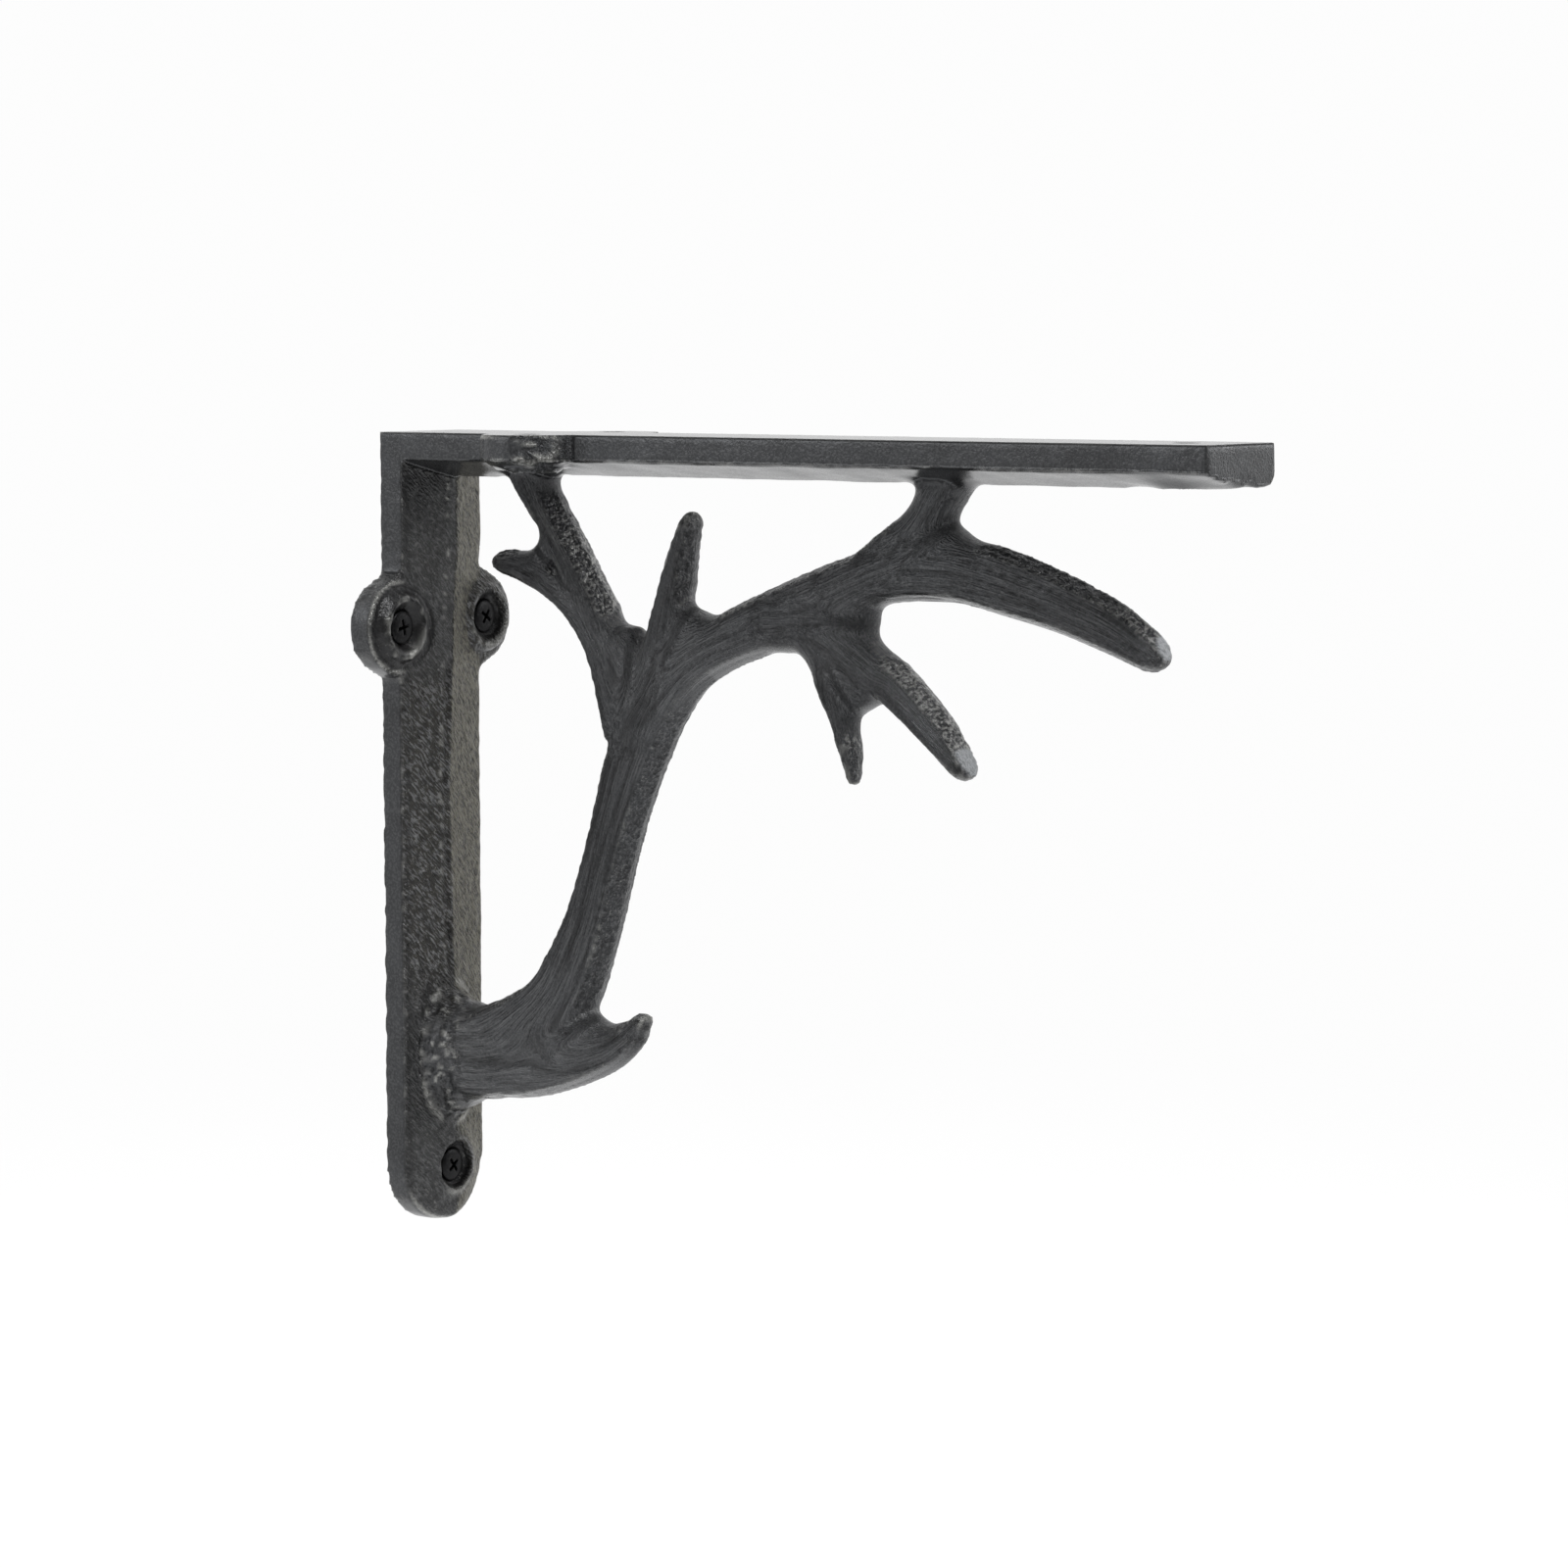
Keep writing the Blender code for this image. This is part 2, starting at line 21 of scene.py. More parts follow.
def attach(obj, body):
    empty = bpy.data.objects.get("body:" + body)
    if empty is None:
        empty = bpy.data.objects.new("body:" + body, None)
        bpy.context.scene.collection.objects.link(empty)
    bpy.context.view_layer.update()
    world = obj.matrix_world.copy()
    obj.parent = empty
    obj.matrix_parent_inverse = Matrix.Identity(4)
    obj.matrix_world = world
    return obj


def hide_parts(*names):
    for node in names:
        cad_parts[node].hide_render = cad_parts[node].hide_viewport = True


LOG = logging.getLogger("antler_bracket")
MM = 0.001
EAR_FROM_CORNER = 42.5
EAR_STAGGER = 0.5
HOLE_SPACING = 29.0
END_HOLE_FROM_END = 12.5
LOWER_HOLE_DROP = 165.5
ROW_PLACE = Matrix.Translation((0.0, 0.0, EAR_FROM_CORNER * MM)) @ Matrix.Scale(MM, 4)
Outline = list[tuple[float, float]]

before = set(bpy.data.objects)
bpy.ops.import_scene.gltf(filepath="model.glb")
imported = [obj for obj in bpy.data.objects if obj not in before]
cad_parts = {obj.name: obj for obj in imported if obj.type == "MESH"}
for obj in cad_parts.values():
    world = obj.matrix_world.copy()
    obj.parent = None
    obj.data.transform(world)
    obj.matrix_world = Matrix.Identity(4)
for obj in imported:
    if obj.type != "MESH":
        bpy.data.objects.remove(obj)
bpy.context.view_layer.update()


class Tip(Enum):
    """How a branch of the antler ends."""

    FREE = "a rounded point in the air"
    FUSED = "inside another branch or a strap"
    BLUNT = "a web that fills a crotch"


class Side(Enum):
    """Which way an ear stands out from its strap."""

    NEAR = -1.0
    FAR = 1.0


class End(Enum):
    """The form of a strap's far end."""

    ROUND = "a half circle"
    SQUARE = "cut square"


def mesh_object(bm: bmesh.types.BMesh, name: str, place: Matrix | None = None) -> bpy.types.Object:
    """Turns a bmesh into an object in the scene.

    Args:
        bm: The mesh, which is freed.
        name: The object's name.
        place: A transform for the mesh's points, if any.

    Returns:
        The new object.
    """
    bmesh.ops.recalc_face_normals(bm, faces=bm.faces)
    if place is not None:
        bm.transform(place)
    mesh = bpy.data.meshes.new(name)
    bm.to_mesh(mesh)
    bm.free()
    obj = bpy.data.objects.new(name, mesh)
    bpy.context.scene.collection.objects.link(obj)
    return obj


def evaluated_mesh(obj: bpy.types.Object) -> bpy.types.Mesh:
    """A new mesh that holds the object's shape with its modifiers applied."""
    depsgraph = bpy.context.evaluated_depsgraph_get()
    return bpy.data.meshes.new_from_object(obj.evaluated_get(depsgraph))


def bake_modifiers(obj: bpy.types.Object, helpers: Iterable[bpy.types.Object] = ()) -> None:
    """Applies an object's modifiers and removes the objects that they used."""
    mesh = evaluated_mesh(obj)
    obj.modifiers.clear()
    obj.data = mesh
    for helper in helpers:
        bpy.data.objects.remove(helper)


def combine(
    obj: bpy.types.Object, other: bpy.types.Object, operation: str
) -> bpy.types.BooleanModifier:
    """Adds an exact Boolean of obj with other, and returns it."""
    modifier = obj.modifiers.new(other.name, "BOOLEAN")
    modifier.operation = operation
    modifier.object = other
    return modifier


def prism(outline: Sequence[tuple[float, float]], low: float, high: float) -> bmesh.types.BMesh:
    """A prism over a closed outline.

    Args:
        outline: Its (x, y) points.
        low: The height of its base.
        high: The height of its top.

    Returns:
        The mesh.
    """
    bm = bmesh.new()
    base = bm.faces.new([bm.verts.new((x, y, low)) for x, y in outline])
    swept = bmesh.ops.extrude_face_region(bm, geom=[base])["geom"]
    raised = [item for item in swept if isinstance(item, bmesh.types.BMVert)]
    bmesh.ops.translate(bm, verts=raised, vec=(0.0, 0.0, high - low))
    return bm


def bridge(bm: bmesh.types.BMesh, rings: Sequence[Sequence[bmesh.types.BMVert]]) -> None:
    """Joins each closed ring of points to the next with four-sided faces."""
    for ring, following in zip(rings, rings[1:]):
        for i, vert in enumerate(ring):
            j = (i + 1) % len(ring)
            bm.faces.new((vert, ring[j], following[j], following[i]))


def turned(profile: Sequence[tuple[float, float]], steps: int) -> bmesh.types.BMesh:
    """A profile of (radius, height) points turned about the z axis."""
    bm = bmesh.new()
    verts = [bm.verts.new((radius, 0.0, height)) for radius, height in profile]
    edges = [bm.edges.new(pair) for pair in zip(verts, verts[1:])]
    bmesh.ops.spin(
        bm, geom=verts + edges, axis=(0, 0, 1), cent=(0, 0, 0), angle=2 * math.pi, steps=steps
    )
    bmesh.ops.remove_doubles(bm, verts=bm.verts, dist=1e-4)
    return bm


def arc(centre: tuple[float, float], radius: float, start: float, end: float, steps: int) -> Outline:
    """Points of an arc from the angle start to the angle end, both included."""
    turns = [start + (end - start) * i / steps for i in range(steps + 1)]
    return [(centre[0] + radius * math.cos(a), centre[1] + radius * math.sin(a)) for a in turns]


def smoothstep(values: np.ndarray, low: float, high: float) -> np.ndarray:
    """A soft ramp from 0 at low to 1 at high, which may run downwards."""
    t = np.clip((values - low) / (high - low), 0.0, 1.0)
    return t * t * (3 - 2 * t)


def field_noise(points: np.ndarray, seed: float) -> np.ndarray:
    """Smooth noise of about unit period, from -1 to 1, at an array of points."""
    shifted = points + np.array((seed, 1.7 * seed, 2.3 * seed))
    return np.fromiter((noise.noise(p) for p in shifted.tolist()), float, len(shifted))


# The casting


def ear_from_corner(side: Side) -> float:
    """How far an ear's hole is from the corner, one being a little farther out."""
    return EAR_FROM_CORNER - side.value * EAR_STAGGER


@dataclass
class Strap:
    """One ridged bar of the bracket, drawn flat: x along it, y across it, z from its flat face."""

    name: str
    length: float
    end: End
    place: Matrix
    ridge_line: Sequence[tuple[float, float]] = ((0.0, 0.0),)
    width: float = 27.7
    edge_thickness: float = 5.7
    ridge_thickness: float = 9.2
    swell: float = 0.7
    swell_span: tuple[float, float] = (26.0, 36.0)
    ear_radius: float = 10.3
    ear_tangent: float = math.radians(65.0)
    shoulder_radius: float = 9.5
    boss_radius: float = 6.4
    boss_height: float = 7.5
    collar_tube: float = 1.4
    pad_radius: float = 9.0
    pad_height: float = 8.6
    hole_radius: float = 2.4
    countersink_radius: float = 5.2
    cheek_length: float = 7.0
    overshoot: float = 2.0
    round_steps: int = 40

    def gable(self) -> bmesh.types.BMesh:
        """The bar itself: a low ridge on its free face, which wanders, and a thicker corner."""
        half = self.width / 2
        line_x, line_y = zip(*self.ridge_line)
        stops = sorted({0.0, *self.swell_span, *line_x, self.length})
        bm = bmesh.new()
        rings = []
        for x in stops:
            more = float(np.interp(x, self.swell_span, (self.swell, 0.0)))
            edge = self.edge_thickness + more / 2
            ridge = (float(np.interp(x, line_x, line_y)), self.ridge_thickness + more)
            section = ((-half, 0.0), (half, 0.0), (half, edge), ridge, (-half, edge))
            rings.append([bm.verts.new((x, y, z)) for y, z in section])
        bridge(bm, rings)
        bm.faces.new(rings[0])
        bm.faces.new(rings[-1])
        bmesh.ops.triangulate(bm, faces=bm.faces)
        return bm

    def rounded_outline(self) -> Outline:
        """The bar's outline, from the corner to a half-round far end."""
        half = self.width / 2
        end = arc((self.length - half, 0.0), half, -math.pi / 2, math.pi / 2, 32)
        return [(0.0, -half), *end, (0.0, half)]

    def ear_outline(self, side: Side) -> Outline:
        """One ear: a round lobe over its hole, faired into the bar by two tangents."""
        middle = ear_from_corner(side)
        hole = HOLE_SPACING / 2
        inside = self.width / 2 - 2.0
        sine, cosine = math.sin(self.ear_tangent), math.cos(self.ear_tangent)
        drop = hole + self.ear_radius * cosine - inside
        reach = self.ear_radius * sine + drop * cosine / sine
        first = math.pi / 2 - self.ear_tangent
        lobe = arc((middle, hole), self.ear_radius, first, math.pi - first, 28)
        ends = (middle + reach, inside), (middle - reach, inside)
        return [(x, side.value * y) for x, y in (ends[0], *lobe, ends[1])]

    def turned_at(self, x: float, y: float, profile: Outline) -> bmesh.types.BMesh:
        """A profile of (radius, height) points turned about an upright axis on the bar."""
        bm = turned(profile, self.round_steps)
        bmesh.ops.translate(bm, verts=bm.verts, vec=(x, y, 0.0))
        return bm

    def collar(self, x: float, y: float, height: float) -> bmesh.types.BMesh:
        """The rounded rim that stands round a countersink."""
        tube = self.collar_tube
        radius = self.countersink_radius + tube * 0.75
        return self.turned_at(x, y, arc((radius, height - 0.5), tube, 0.0, 2 * math.pi, 12))

    def hole(self, x: float, y: float, height: float) -> bmesh.types.BMesh:
        """A cutter for a clearance hole whose countersink opens at a height."""
        depth = self.countersink_radius - self.hole_radius
        above = self.ridge_thickness + 3.0
        widest = self.countersink_radius + above - height
        profile = [
            (0.0, -self.overshoot),
            (self.hole_radius, -self.overshoot),
            (self.hole_radius, height - depth),
            (self.countersink_radius, height),
            (widest, above),
            (0.0, above),
        ]
        return self.turned_at(x, y, profile)

    def cheek(self) -> bmesh.types.BMesh:
        """The fuller far corner of a square end, where the metal was gated."""
        half = self.width / 2
        outline = [
            (0.0, self.edge_thickness - 3.0),
            (half, self.edge_thickness - 3.0),
            (half, self.ridge_thickness - 2.6),
            (half - 0.8, self.ridge_thickness - 1.2),
            (half - 3.0, self.ridge_thickness - 0.2),
            (0.0, self.ridge_thickness),
        ]
        bm = prism([(-y, z) for y, z in outline], 0.0, self.cheek_length)
        start, middle = self.length - self.cheek_length, self.length - self.cheek_length / 2
        bm.transform(Matrix(((0, 0, 1, start), (1, 0, 0, 0), (0, 1, 0, 0), (0, 0, 0, 1))))
        back = [v for v in bm.verts if v.co.x < middle and v.co.z > self.edge_thickness]
        bmesh.ops.translate(bm, verts=back, vec=(0.0, 0.0, -1.0))
        return bm

    def build(self) -> bpy.types.Object:
        """The whole bar with its ears, collars and countersunk holes.

        Returns:
            The object, in the drawing frame.
        """
        bar = mesh_object(self.gable(), self.name, self.place)
        helpers: list[bpy.types.Object] = []

        def use(bm: bmesh.types.BMesh, operation: str) -> None:
            """Combines the bar with one more mesh."""
            helper = mesh_object(bm, f"{self.name}_{len(helpers)}", self.place)
            helpers.append(helper)
            combine(bar, helper, operation)

        above = self.ridge_thickness + self.overshoot
        if self.end is End.ROUND:
            use(prism(self.rounded_outline(), -1.0, above), "INTERSECT")
        end_x = self.length - END_HOLE_FROM_END
        pad = [
            (0.0, 1.0),
            (self.pad_radius + 2.5, 1.0),
            (self.pad_radius + 2.5, self.edge_thickness - 0.4),
            (self.pad_radius - 1.5, self.pad_height),
            (0.0, self.pad_height),
        ]
        facing = [
            (0.0, self.pad_height),
            (self.pad_radius - 3.0, self.pad_height),
            (self.pad_radius, above),
            (0.0, above),
        ]
        use(self.turned_at(end_x, 0.0, pad), "UNION")
        use(self.turned_at(end_x, 0.0, facing), "DIFFERENCE")
        if self.end is End.SQUARE:
            use(self.cheek(), "UNION")
        places = [(end_x, 0.0, self.pad_height)]
        shoulder = [
            (0.0, self.edge_thickness - 1.5),
            (self.shoulder_radius, self.edge_thickness - 1.5),
            (self.shoulder_radius, self.edge_thickness + 0.1),
            (self.boss_radius, self.boss_height),
            (0.0, self.boss_height),
        ]
        for side in Side:
            hole_x, hole_y = ear_from_corner(side), side.value * HOLE_SPACING / 2
            use(prism(self.ear_outline(side), 0.0, self.edge_thickness + 0.2), "UNION")
            use(self.turned_at(hole_x, hole_y, shoulder), "UNION")
            places.append((hole_x, hole_y, self.boss_height))
        for place in places:
            use(self.collar(*place), "UNION")
            use(self.hole(*place), "DIFFERENCE")
        bake_modifiers(bar, helpers)
        return bar


@dataclass
class Branch:
    """One branch of the antler, lofted along its middle line in the plane y = 0.

    Its section is that of a casting parted at that plane: two nearly flat faces, and flanks that
    draw in towards them.
    """

    name: str
    tip: Tip
    stations: tuple[tuple[float, float, float, float], ...]
    draft: float = 1.8
    crown: float = 0.35
    steps: int = 6
    tip_steps: int = 5
    edge_points: int = 4

    def rows(self) -> np.ndarray:
        """Rows of (x, z, half width, half thickness) along a Catmull-Rom spline."""
        given = np.array([(x, -drop, a, b) for x, drop, a, b in self.stations])
        given = np.vstack([2 * given[0] - given[1], given, 2 * given[-1] - given[-2]])
        found = []
        for before, a, b, after in zip(given, given[1:], given[2:], given[3:]):
            for t in np.arange(self.steps) / self.steps:
                bend = (2 * before - 5 * a + 4 * b - after) * t**2
                twist = (3 * a - before - 3 * b + after) * t**3
                found.append(0.5 * (2 * a + (b - before) * t + bend + twist))
        return np.array([*found, given[-2]])

    def section(self, half_width: float, half_thickness: float) -> Outline:
        """The (across, y) points of the section."""
        inset = min(self.draft, 0.45 * half_width)
        face = half_width - inset
        corners = [
            (half_width, 0.0),
            (face, half_thickness),
            (-face, half_thickness),
            (-half_width, 0.0),
            (-face, -half_thickness),
            (face, -half_thickness),
        ]
        points = []
        for (x0, y0), (x1, y1) in zip(corners, corners[1:] + corners[:1]):
            for t in np.arange(self.edge_points) / self.edge_points:
                x, y = x0 + (x1 - x0) * t, y0 + (y1 - y0) * t
                if y0 == y1:
                    y += math.copysign(self.crown * (1 - (x / face) ** 2), y)
                points.append((x, y))
        return points

    def loft(self, bm: bmesh.types.BMesh) -> None:
        """Adds the branch to a mesh as one closed skin."""
        rows = self.rows()
        along = np.gradient(rows[:, :2], axis=0)
        along /= np.linalg.norm(along, axis=1)[:, None]
        sizes = [(row[0], row[1], row[2], row[3], way) for row, way in zip(rows, along)]
        if self.tip is not Tip.FUSED:
            x, z, half_width, half_thickness, way = sizes[-1]
            reach = (half_width + half_thickness) * (0.7 if self.tip is Tip.FREE else 0.2)
            for i in range(1, self.tip_steps):
                turn = 0.5 * math.pi * i / self.tip_steps
                step, shrink = reach * math.sin(turn), math.cos(turn)
                middle = x + way[0] * step, z + way[1] * step
                sizes.append((*middle, half_width * shrink, half_thickness * shrink, way))
        rings = [
            [
                bm.verts.new((x - dz * across, y, z + dx * across))
                for across, y in self.section(half_width, half_thickness)
            ]
            for x, z, half_width, half_thickness, (dx, dz) in sizes
        ]
        bridge(bm, rings)
        bm.faces.new(reversed(rings[0]))
        bm.faces.new(rings[-1])

    def grain(self, points: np.ndarray) -> tuple[np.ndarray, np.ndarray, np.ndarray]:
        """Where points lie in this branch's own section.

        Args:
            points: Points in the drawing frame.

        Returns:
            The place across and through the section as shares of its half sizes, the distance
            along the branch, and how far out of the section each point lies, 1 being its skin.
        """
        rows = self.rows()
        start, step = rows[:-1, :2], np.diff(rows[:, :2], axis=0)
        length = np.linalg.norm(step, axis=1)
        run = np.concatenate([[0.0], np.cumsum(length)])
        offset = points[:, None, (0, 2)] - start[None]
        t = np.clip((offset * step).sum(-1) / length**2, 0.0, 1.0)
        gap = offset - t[..., None] * step
        nearest = np.argmin((gap**2).sum(-1), axis=1)
        pick = np.arange(len(points))
        t, gap = t[pick, nearest], gap[pick, nearest]
        way = step[nearest] / length[nearest][:, None]
        size = rows[nearest, 2:] * (1 - t)[:, None] + rows[nearest + 1, 2:] * t[:, None]
        across = (way[:, 0] * gap[:, 1] - way[:, 1] * gap[:, 0]) / size[:, 0]
        beyond = (way * gap).sum(-1) / size[:, 0]
        through = points[:, 1] / size[:, 1]
        out = (np.abs(across) ** 3 + np.abs(through) ** 3 + np.abs(beyond) ** 3) ** (1 / 3)
        local = np.stack([across, through, run[nearest] + t * length[nearest]], axis=1)
        return local, out, way


# The antler's branches, with stations along each: (x, drop, half width, half thickness)
ANTLER = (
    Branch("beam", Tip.FREE, (
        (13.3, 139.2, 10.6, 6.8), (22.3, 137.8, 10.8, 6.4), (32.0, 132.3, 9.9, 6.0),
        (39.6, 124.8, 8.3, 5.6), (44.5, 116.0, 7.4, 5.3), (48.7, 106.0, 6.5, 5.1),
        (52.8, 93.0, 6.0, 5.0), (56.4, 81.5, 6.2, 5.0), (60.6, 69.5, 7.0, 5.1),
        (66.3, 58.4, 7.2, 5.1), (74.1, 49.9, 6.6, 5.1), (84.3, 43.9, 6.3, 5.1),
        (96.3, 39.1, 6.8, 5.2), (108.3, 34.6, 6.9, 5.3), (120.3, 29.8, 6.4, 5.3),
        (132.3, 27.2, 6.5, 5.2), (144.3, 26.8, 7.1, 5.0), (156.3, 29.4, 6.9, 4.8),
        (168.3, 32.9, 6.2, 4.5), (179.3, 37.1, 5.6, 4.1), (187.6, 41.4, 4.5, 3.4),
    )),
    Branch("brow_tine", Tip.FREE, (
        (16.3, 140.0, 9.0, 6.2), (30.3, 139.9, 8.0, 5.8), (42.3, 137.6, 6.9, 5.2),
        (52.4, 134.6, 5.4, 4.6), (58.3, 131.2, 4.1, 3.9), (60.4, 129.2, 2.6, 3.0),
    )),
    Branch("back_brace", Tip.FUSED, (
        (61.5, 64.0, 5.0, 4.6), (55.6, 48.2, 4.7, 4.8), (48.5, 35.6, 4.2, 4.9),
        (42.0, 25.1, 3.9, 4.9), (36.1, 16.2, 3.9, 5.0), (32.4, 9.0, 5.0, 5.3),
        (31.3, 3.5, 5.4, 5.3),
    )),
    Branch("back_strand", Tip.FREE, (
        (58.2, 65.0, 5.4, 4.6), (52.1, 47.6, 3.9, 4.8), (45.7, 38.3, 3.8, 4.8),
        (38.3, 32.4, 4.4, 4.6), (31.3, 29.5, 4.3, 4.2), (25.7, 28.8, 3.1, 3.3),
    )),
    Branch("crown_tine", Tip.FREE, (
        (64.1, 57.0, 4.8, 4.8), (68.3, 45.0, 4.7, 4.8), (70.6, 36.0, 4.1, 4.7),
        (72.3, 28.5, 3.3, 4.4), (74.5, 20.2, 2.4, 3.4),
    )),
    Branch("front_brace", Tip.FUSED, (
        (116.3, 31.4, 5.4, 4.8), (126.5, 25.0, 6.2, 5.0), (134.0, 18.4, 5.5, 5.0),
        (138.2, 12.6, 5.3, 5.2), (140.9, 7.8, 5.6, 5.5), (141.6, 3.5, 6.0, 5.5),
    )),
    Branch("fork_stem", Tip.FUSED, (
        (99.3, 38.4, 5.4, 5.0), (107.9, 41.2, 5.7, 5.1), (115.1, 45.6, 5.8, 5.1),
        (121.2, 50.0, 5.2, 5.0),
    )),
    Branch("fork_front_tine", Tip.FREE, (
        (110.3, 40.6, 5.4, 5.0), (121.1, 46.6, 5.2, 4.9), (130.4, 53.5, 4.8, 4.6),
        (137.9, 60.4, 4.3, 4.2), (143.1, 66.2, 3.4, 3.5),
    )),
    Branch("fork_rear_tine", Tip.FREE, (
        (107.2, 42.4, 4.4, 4.8), (111.3, 49.0, 4.2, 4.7), (114.2, 57.0, 3.5, 4.3),
        (116.0, 64.2, 2.5, 3.4), (116.9, 70.4, 1.4, 2.3),
    )),
    Branch("crown_web", Tip.BLUNT, (
        (61.5, 58.0, 5.0, 4.7), (59.8, 49.0, 4.4, 4.7), (59.7, 42.0, 3.0, 4.5),
    )),
    Branch("crown_front_web", Tip.BLUNT, (
        (72.0, 49.0, 4.0, 4.8), (75.5, 43.4, 5.0, 4.8), (78.0, 38.9, 4.3, 4.6),
    )),
    Branch("strand_web", Tip.BLUNT, (
        (38.5, 28.8, 3.6, 4.6), (35.4, 24.8, 2.8, 4.5),
    )),
    Branch("front_brace_web", Tip.BLUNT, (
        (139.5, 22.0, 4.2, 4.9), (143.8, 19.6, 2.5, 4.8),
    )),
    Branch("fork_web", Tip.BLUNT, (
        (117.6, 50.0, 3.4, 4.7), (120.9, 56.0, 3.4, 4.5),
    )),
    Branch("fork_front_web", Tip.BLUNT, (
        (116.0, 37.8, 4.2, 5.0), (121.7, 38.2, 2.7, 4.9),
    )),
    Branch("fork_back_web", Tip.BLUNT, (
        (101.5, 41.0, 4.0, 4.9), (99.8, 44.7, 2.8, 4.7),
    )),
    Branch("brow_web", Tip.BLUNT, (
        (45.5, 131.8, 4.2, 5.0), (50.2, 129.8, 2.7, 4.8),
    )),
)

# Crotches that the mould's fillets round off: (x, drop, reach)
FILLETS = (
    (58.5, 43.0, 7.5), (78.0, 40.5, 8.5), (34.0, 25.0, 6.5), (132.0, 14.0, 6.0),
    (144.5, 19.0, 8.0), (26.5, 10.0, 4.0), (38.5, 10.0, 4.0), (133.0, 9.5, 4.0),
    (146.0, 9.5, 4.0), (118.5, 57.0, 7.0), (102.5, 47.5, 8.0), (122.5, 39.5, 9.0),
    (51.0, 129.5, 6.5), (15.0, 128.0, 4.0), (15.5, 151.0, 4.0), (12.6, 141.5, 3.2),
)


# The wall strap's screw cups: (y, drop, how far the painted shade reaches, where the rim's painted
# highlight falls)
CUPS = (
    (-HOLE_SPACING / 2, ear_from_corner(Side.NEAR), 9.6, (0.7, -0.7)),
    (HOLE_SPACING / 2, ear_from_corner(Side.FAR), 5.2, (0.7, -0.7)),
    (0.0, LOWER_HOLE_DROP, 5.2, (0.2, -0.98)),
)

# Outer edges that carry a painted highlight: (y, drop, radius, where)
RIM_GLINTS = (
    (-HOLE_SPACING / 2, ear_from_corner(Side.NEAR), 10.0, (-0.6, 0.8)),
    (-HOLE_SPACING / 2, ear_from_corner(Side.NEAR), 10.0, (-0.6, -0.8)),
    (0.0, 164.15, 13.5, (-0.3, -0.95)),
)

# Tines whose points were ground flat: ((x, z), the cut's normal in x and z, reach)
TIP_CUTS = (
    ((191.6, -41.0), (0.92, 0.39), 2.6),
    ((145.4, -66.4), (0.88, 0.47), 3.0),
)


@dataclass
class Root:
    """The pedicle on the wall strap, and the burr of pearls round the antler's root."""

    drop: float = 139.5
    half_height: float = 16.0
    half_width: float = 10.5
    reach: float = 11.5
    burr_reach: float = 13.0
    burr_half_height: float = 12.6
    burr_half_width: float = 8.4
    pearls: int = 30
    seed: int = 7
    gap_filler: tuple[float, float, float, float] = (12.0, -7.0, -2.3, 2.0)

    def build(self, bm: bmesh.types.BMesh) -> None:
        """Adds the pad and the pearls to a mesh."""
        depth = self.reach - 2.0
        pad = bmesh.ops.create_cone(
            bm, cap_ends=True, segments=48, radius1=1.08, radius2=0.84, depth=1.0
        )["verts"]
        shape = Matrix(
            (
                (0, 0, depth, self.reach - depth / 2),
                (0, self.half_width, 0, 0),
                (-self.half_height, 0, 0, -self.drop),
                (0, 0, 0, 1),
            )
        )
        bmesh.ops.transform(bm, matrix=shape, verts=pad)
        draw = random.Random(self.seed)
        for i in range(self.pearls):
            turn = 2 * math.pi * (i + draw.uniform(-0.25, 0.25)) / self.pearls
            radius = draw.uniform(0.85, 1.7)
            x = self.burr_reach + draw.uniform(-1.2, 1.2)
            y = (self.burr_half_width - 0.7) * math.cos(turn)
            z = -self.drop + (self.burr_half_height - 0.9) * math.sin(turn)
            lump = Matrix.Translation((x, y, z)) @ Matrix.Diagonal((1.7, 1.0, 0.8, 1.0))
            bmesh.ops.create_icosphere(bm, subdivisions=2, radius=radius, matrix=lump)
        x, y, above, radius = self.gap_filler
        gap = Matrix.Translation((x, y, above - self.drop))
        bmesh.ops.create_icosphere(bm, subdivisions=2, radius=radius, matrix=gap)


# Where the wall strap's ridge runs: (drop, y), the casting being a little off true
WALL_RIDGE = ((0.0, 0.9), (30.0, 0.9), (55.0, -0.6), (80.0, -1.7), (113.0, -0.8), (140.0, 0.0))


@dataclass(frozen=True)
class Layer:
    """A layer of smooth noise: how fine it is along x, y and z, and its seed."""

    fineness: tuple[float, float, float]
    seed: float

    def at(self, points: np.ndarray) -> np.ndarray:
        """The layer's value at each point, from -1 to 1."""
        return field_noise(points * np.array(self.fineness), self.seed)


# Layers along the antler's grain
FURROWS = Layer((0.4, 0.4, 0.016), 3.1)
HAIRLINES = Layer((0.8, 0.8, 0.05), 9.4)

# Layers of the sand and the flaws that it left, and of where painted glints and highlights fall
PEBBLES = Layer((0.62, 0.62, 0.62), 5.2)
LUMPS = Layer((0.11, 0.11, 0.11), 12.5)
GRIT = Layer((0.33, 0.33, 0.33), 21.0)
SCALES = Layer((1.0, 1.0, 1.0), 27.0)
PITS = Layer((0.35, 0.5, 0.5), 17.0)
SEAM_JAG = Layer((0.0, 0.0, 0.3), 41.0)
SEAM_BREAKS = Layer((0.25, 0.25, 0.25), 31.0)
EDGE_BEADS = Layer((0.1, 0.1, 0.45), 51.0)
RIDGE_GLINTS = Layer((0.1, 0.1, 1.0), 91.0)
CRUMPLES = Layer((1.0, 1.0, 1.0), 61.0)
PEARL_LIGHTS = Layer((0.5, 0.75, 0.75), 33.0)
RIM_BREAKS = Layer((0.3, 0.3, 0.3), 71.0)

# How far from the wall its strap's ridged facets lie, and the height under the arm's own strap
FACETS_FROM = 4.6
FACETS_TO = 9.6
ARM_CLEAR = -9.0

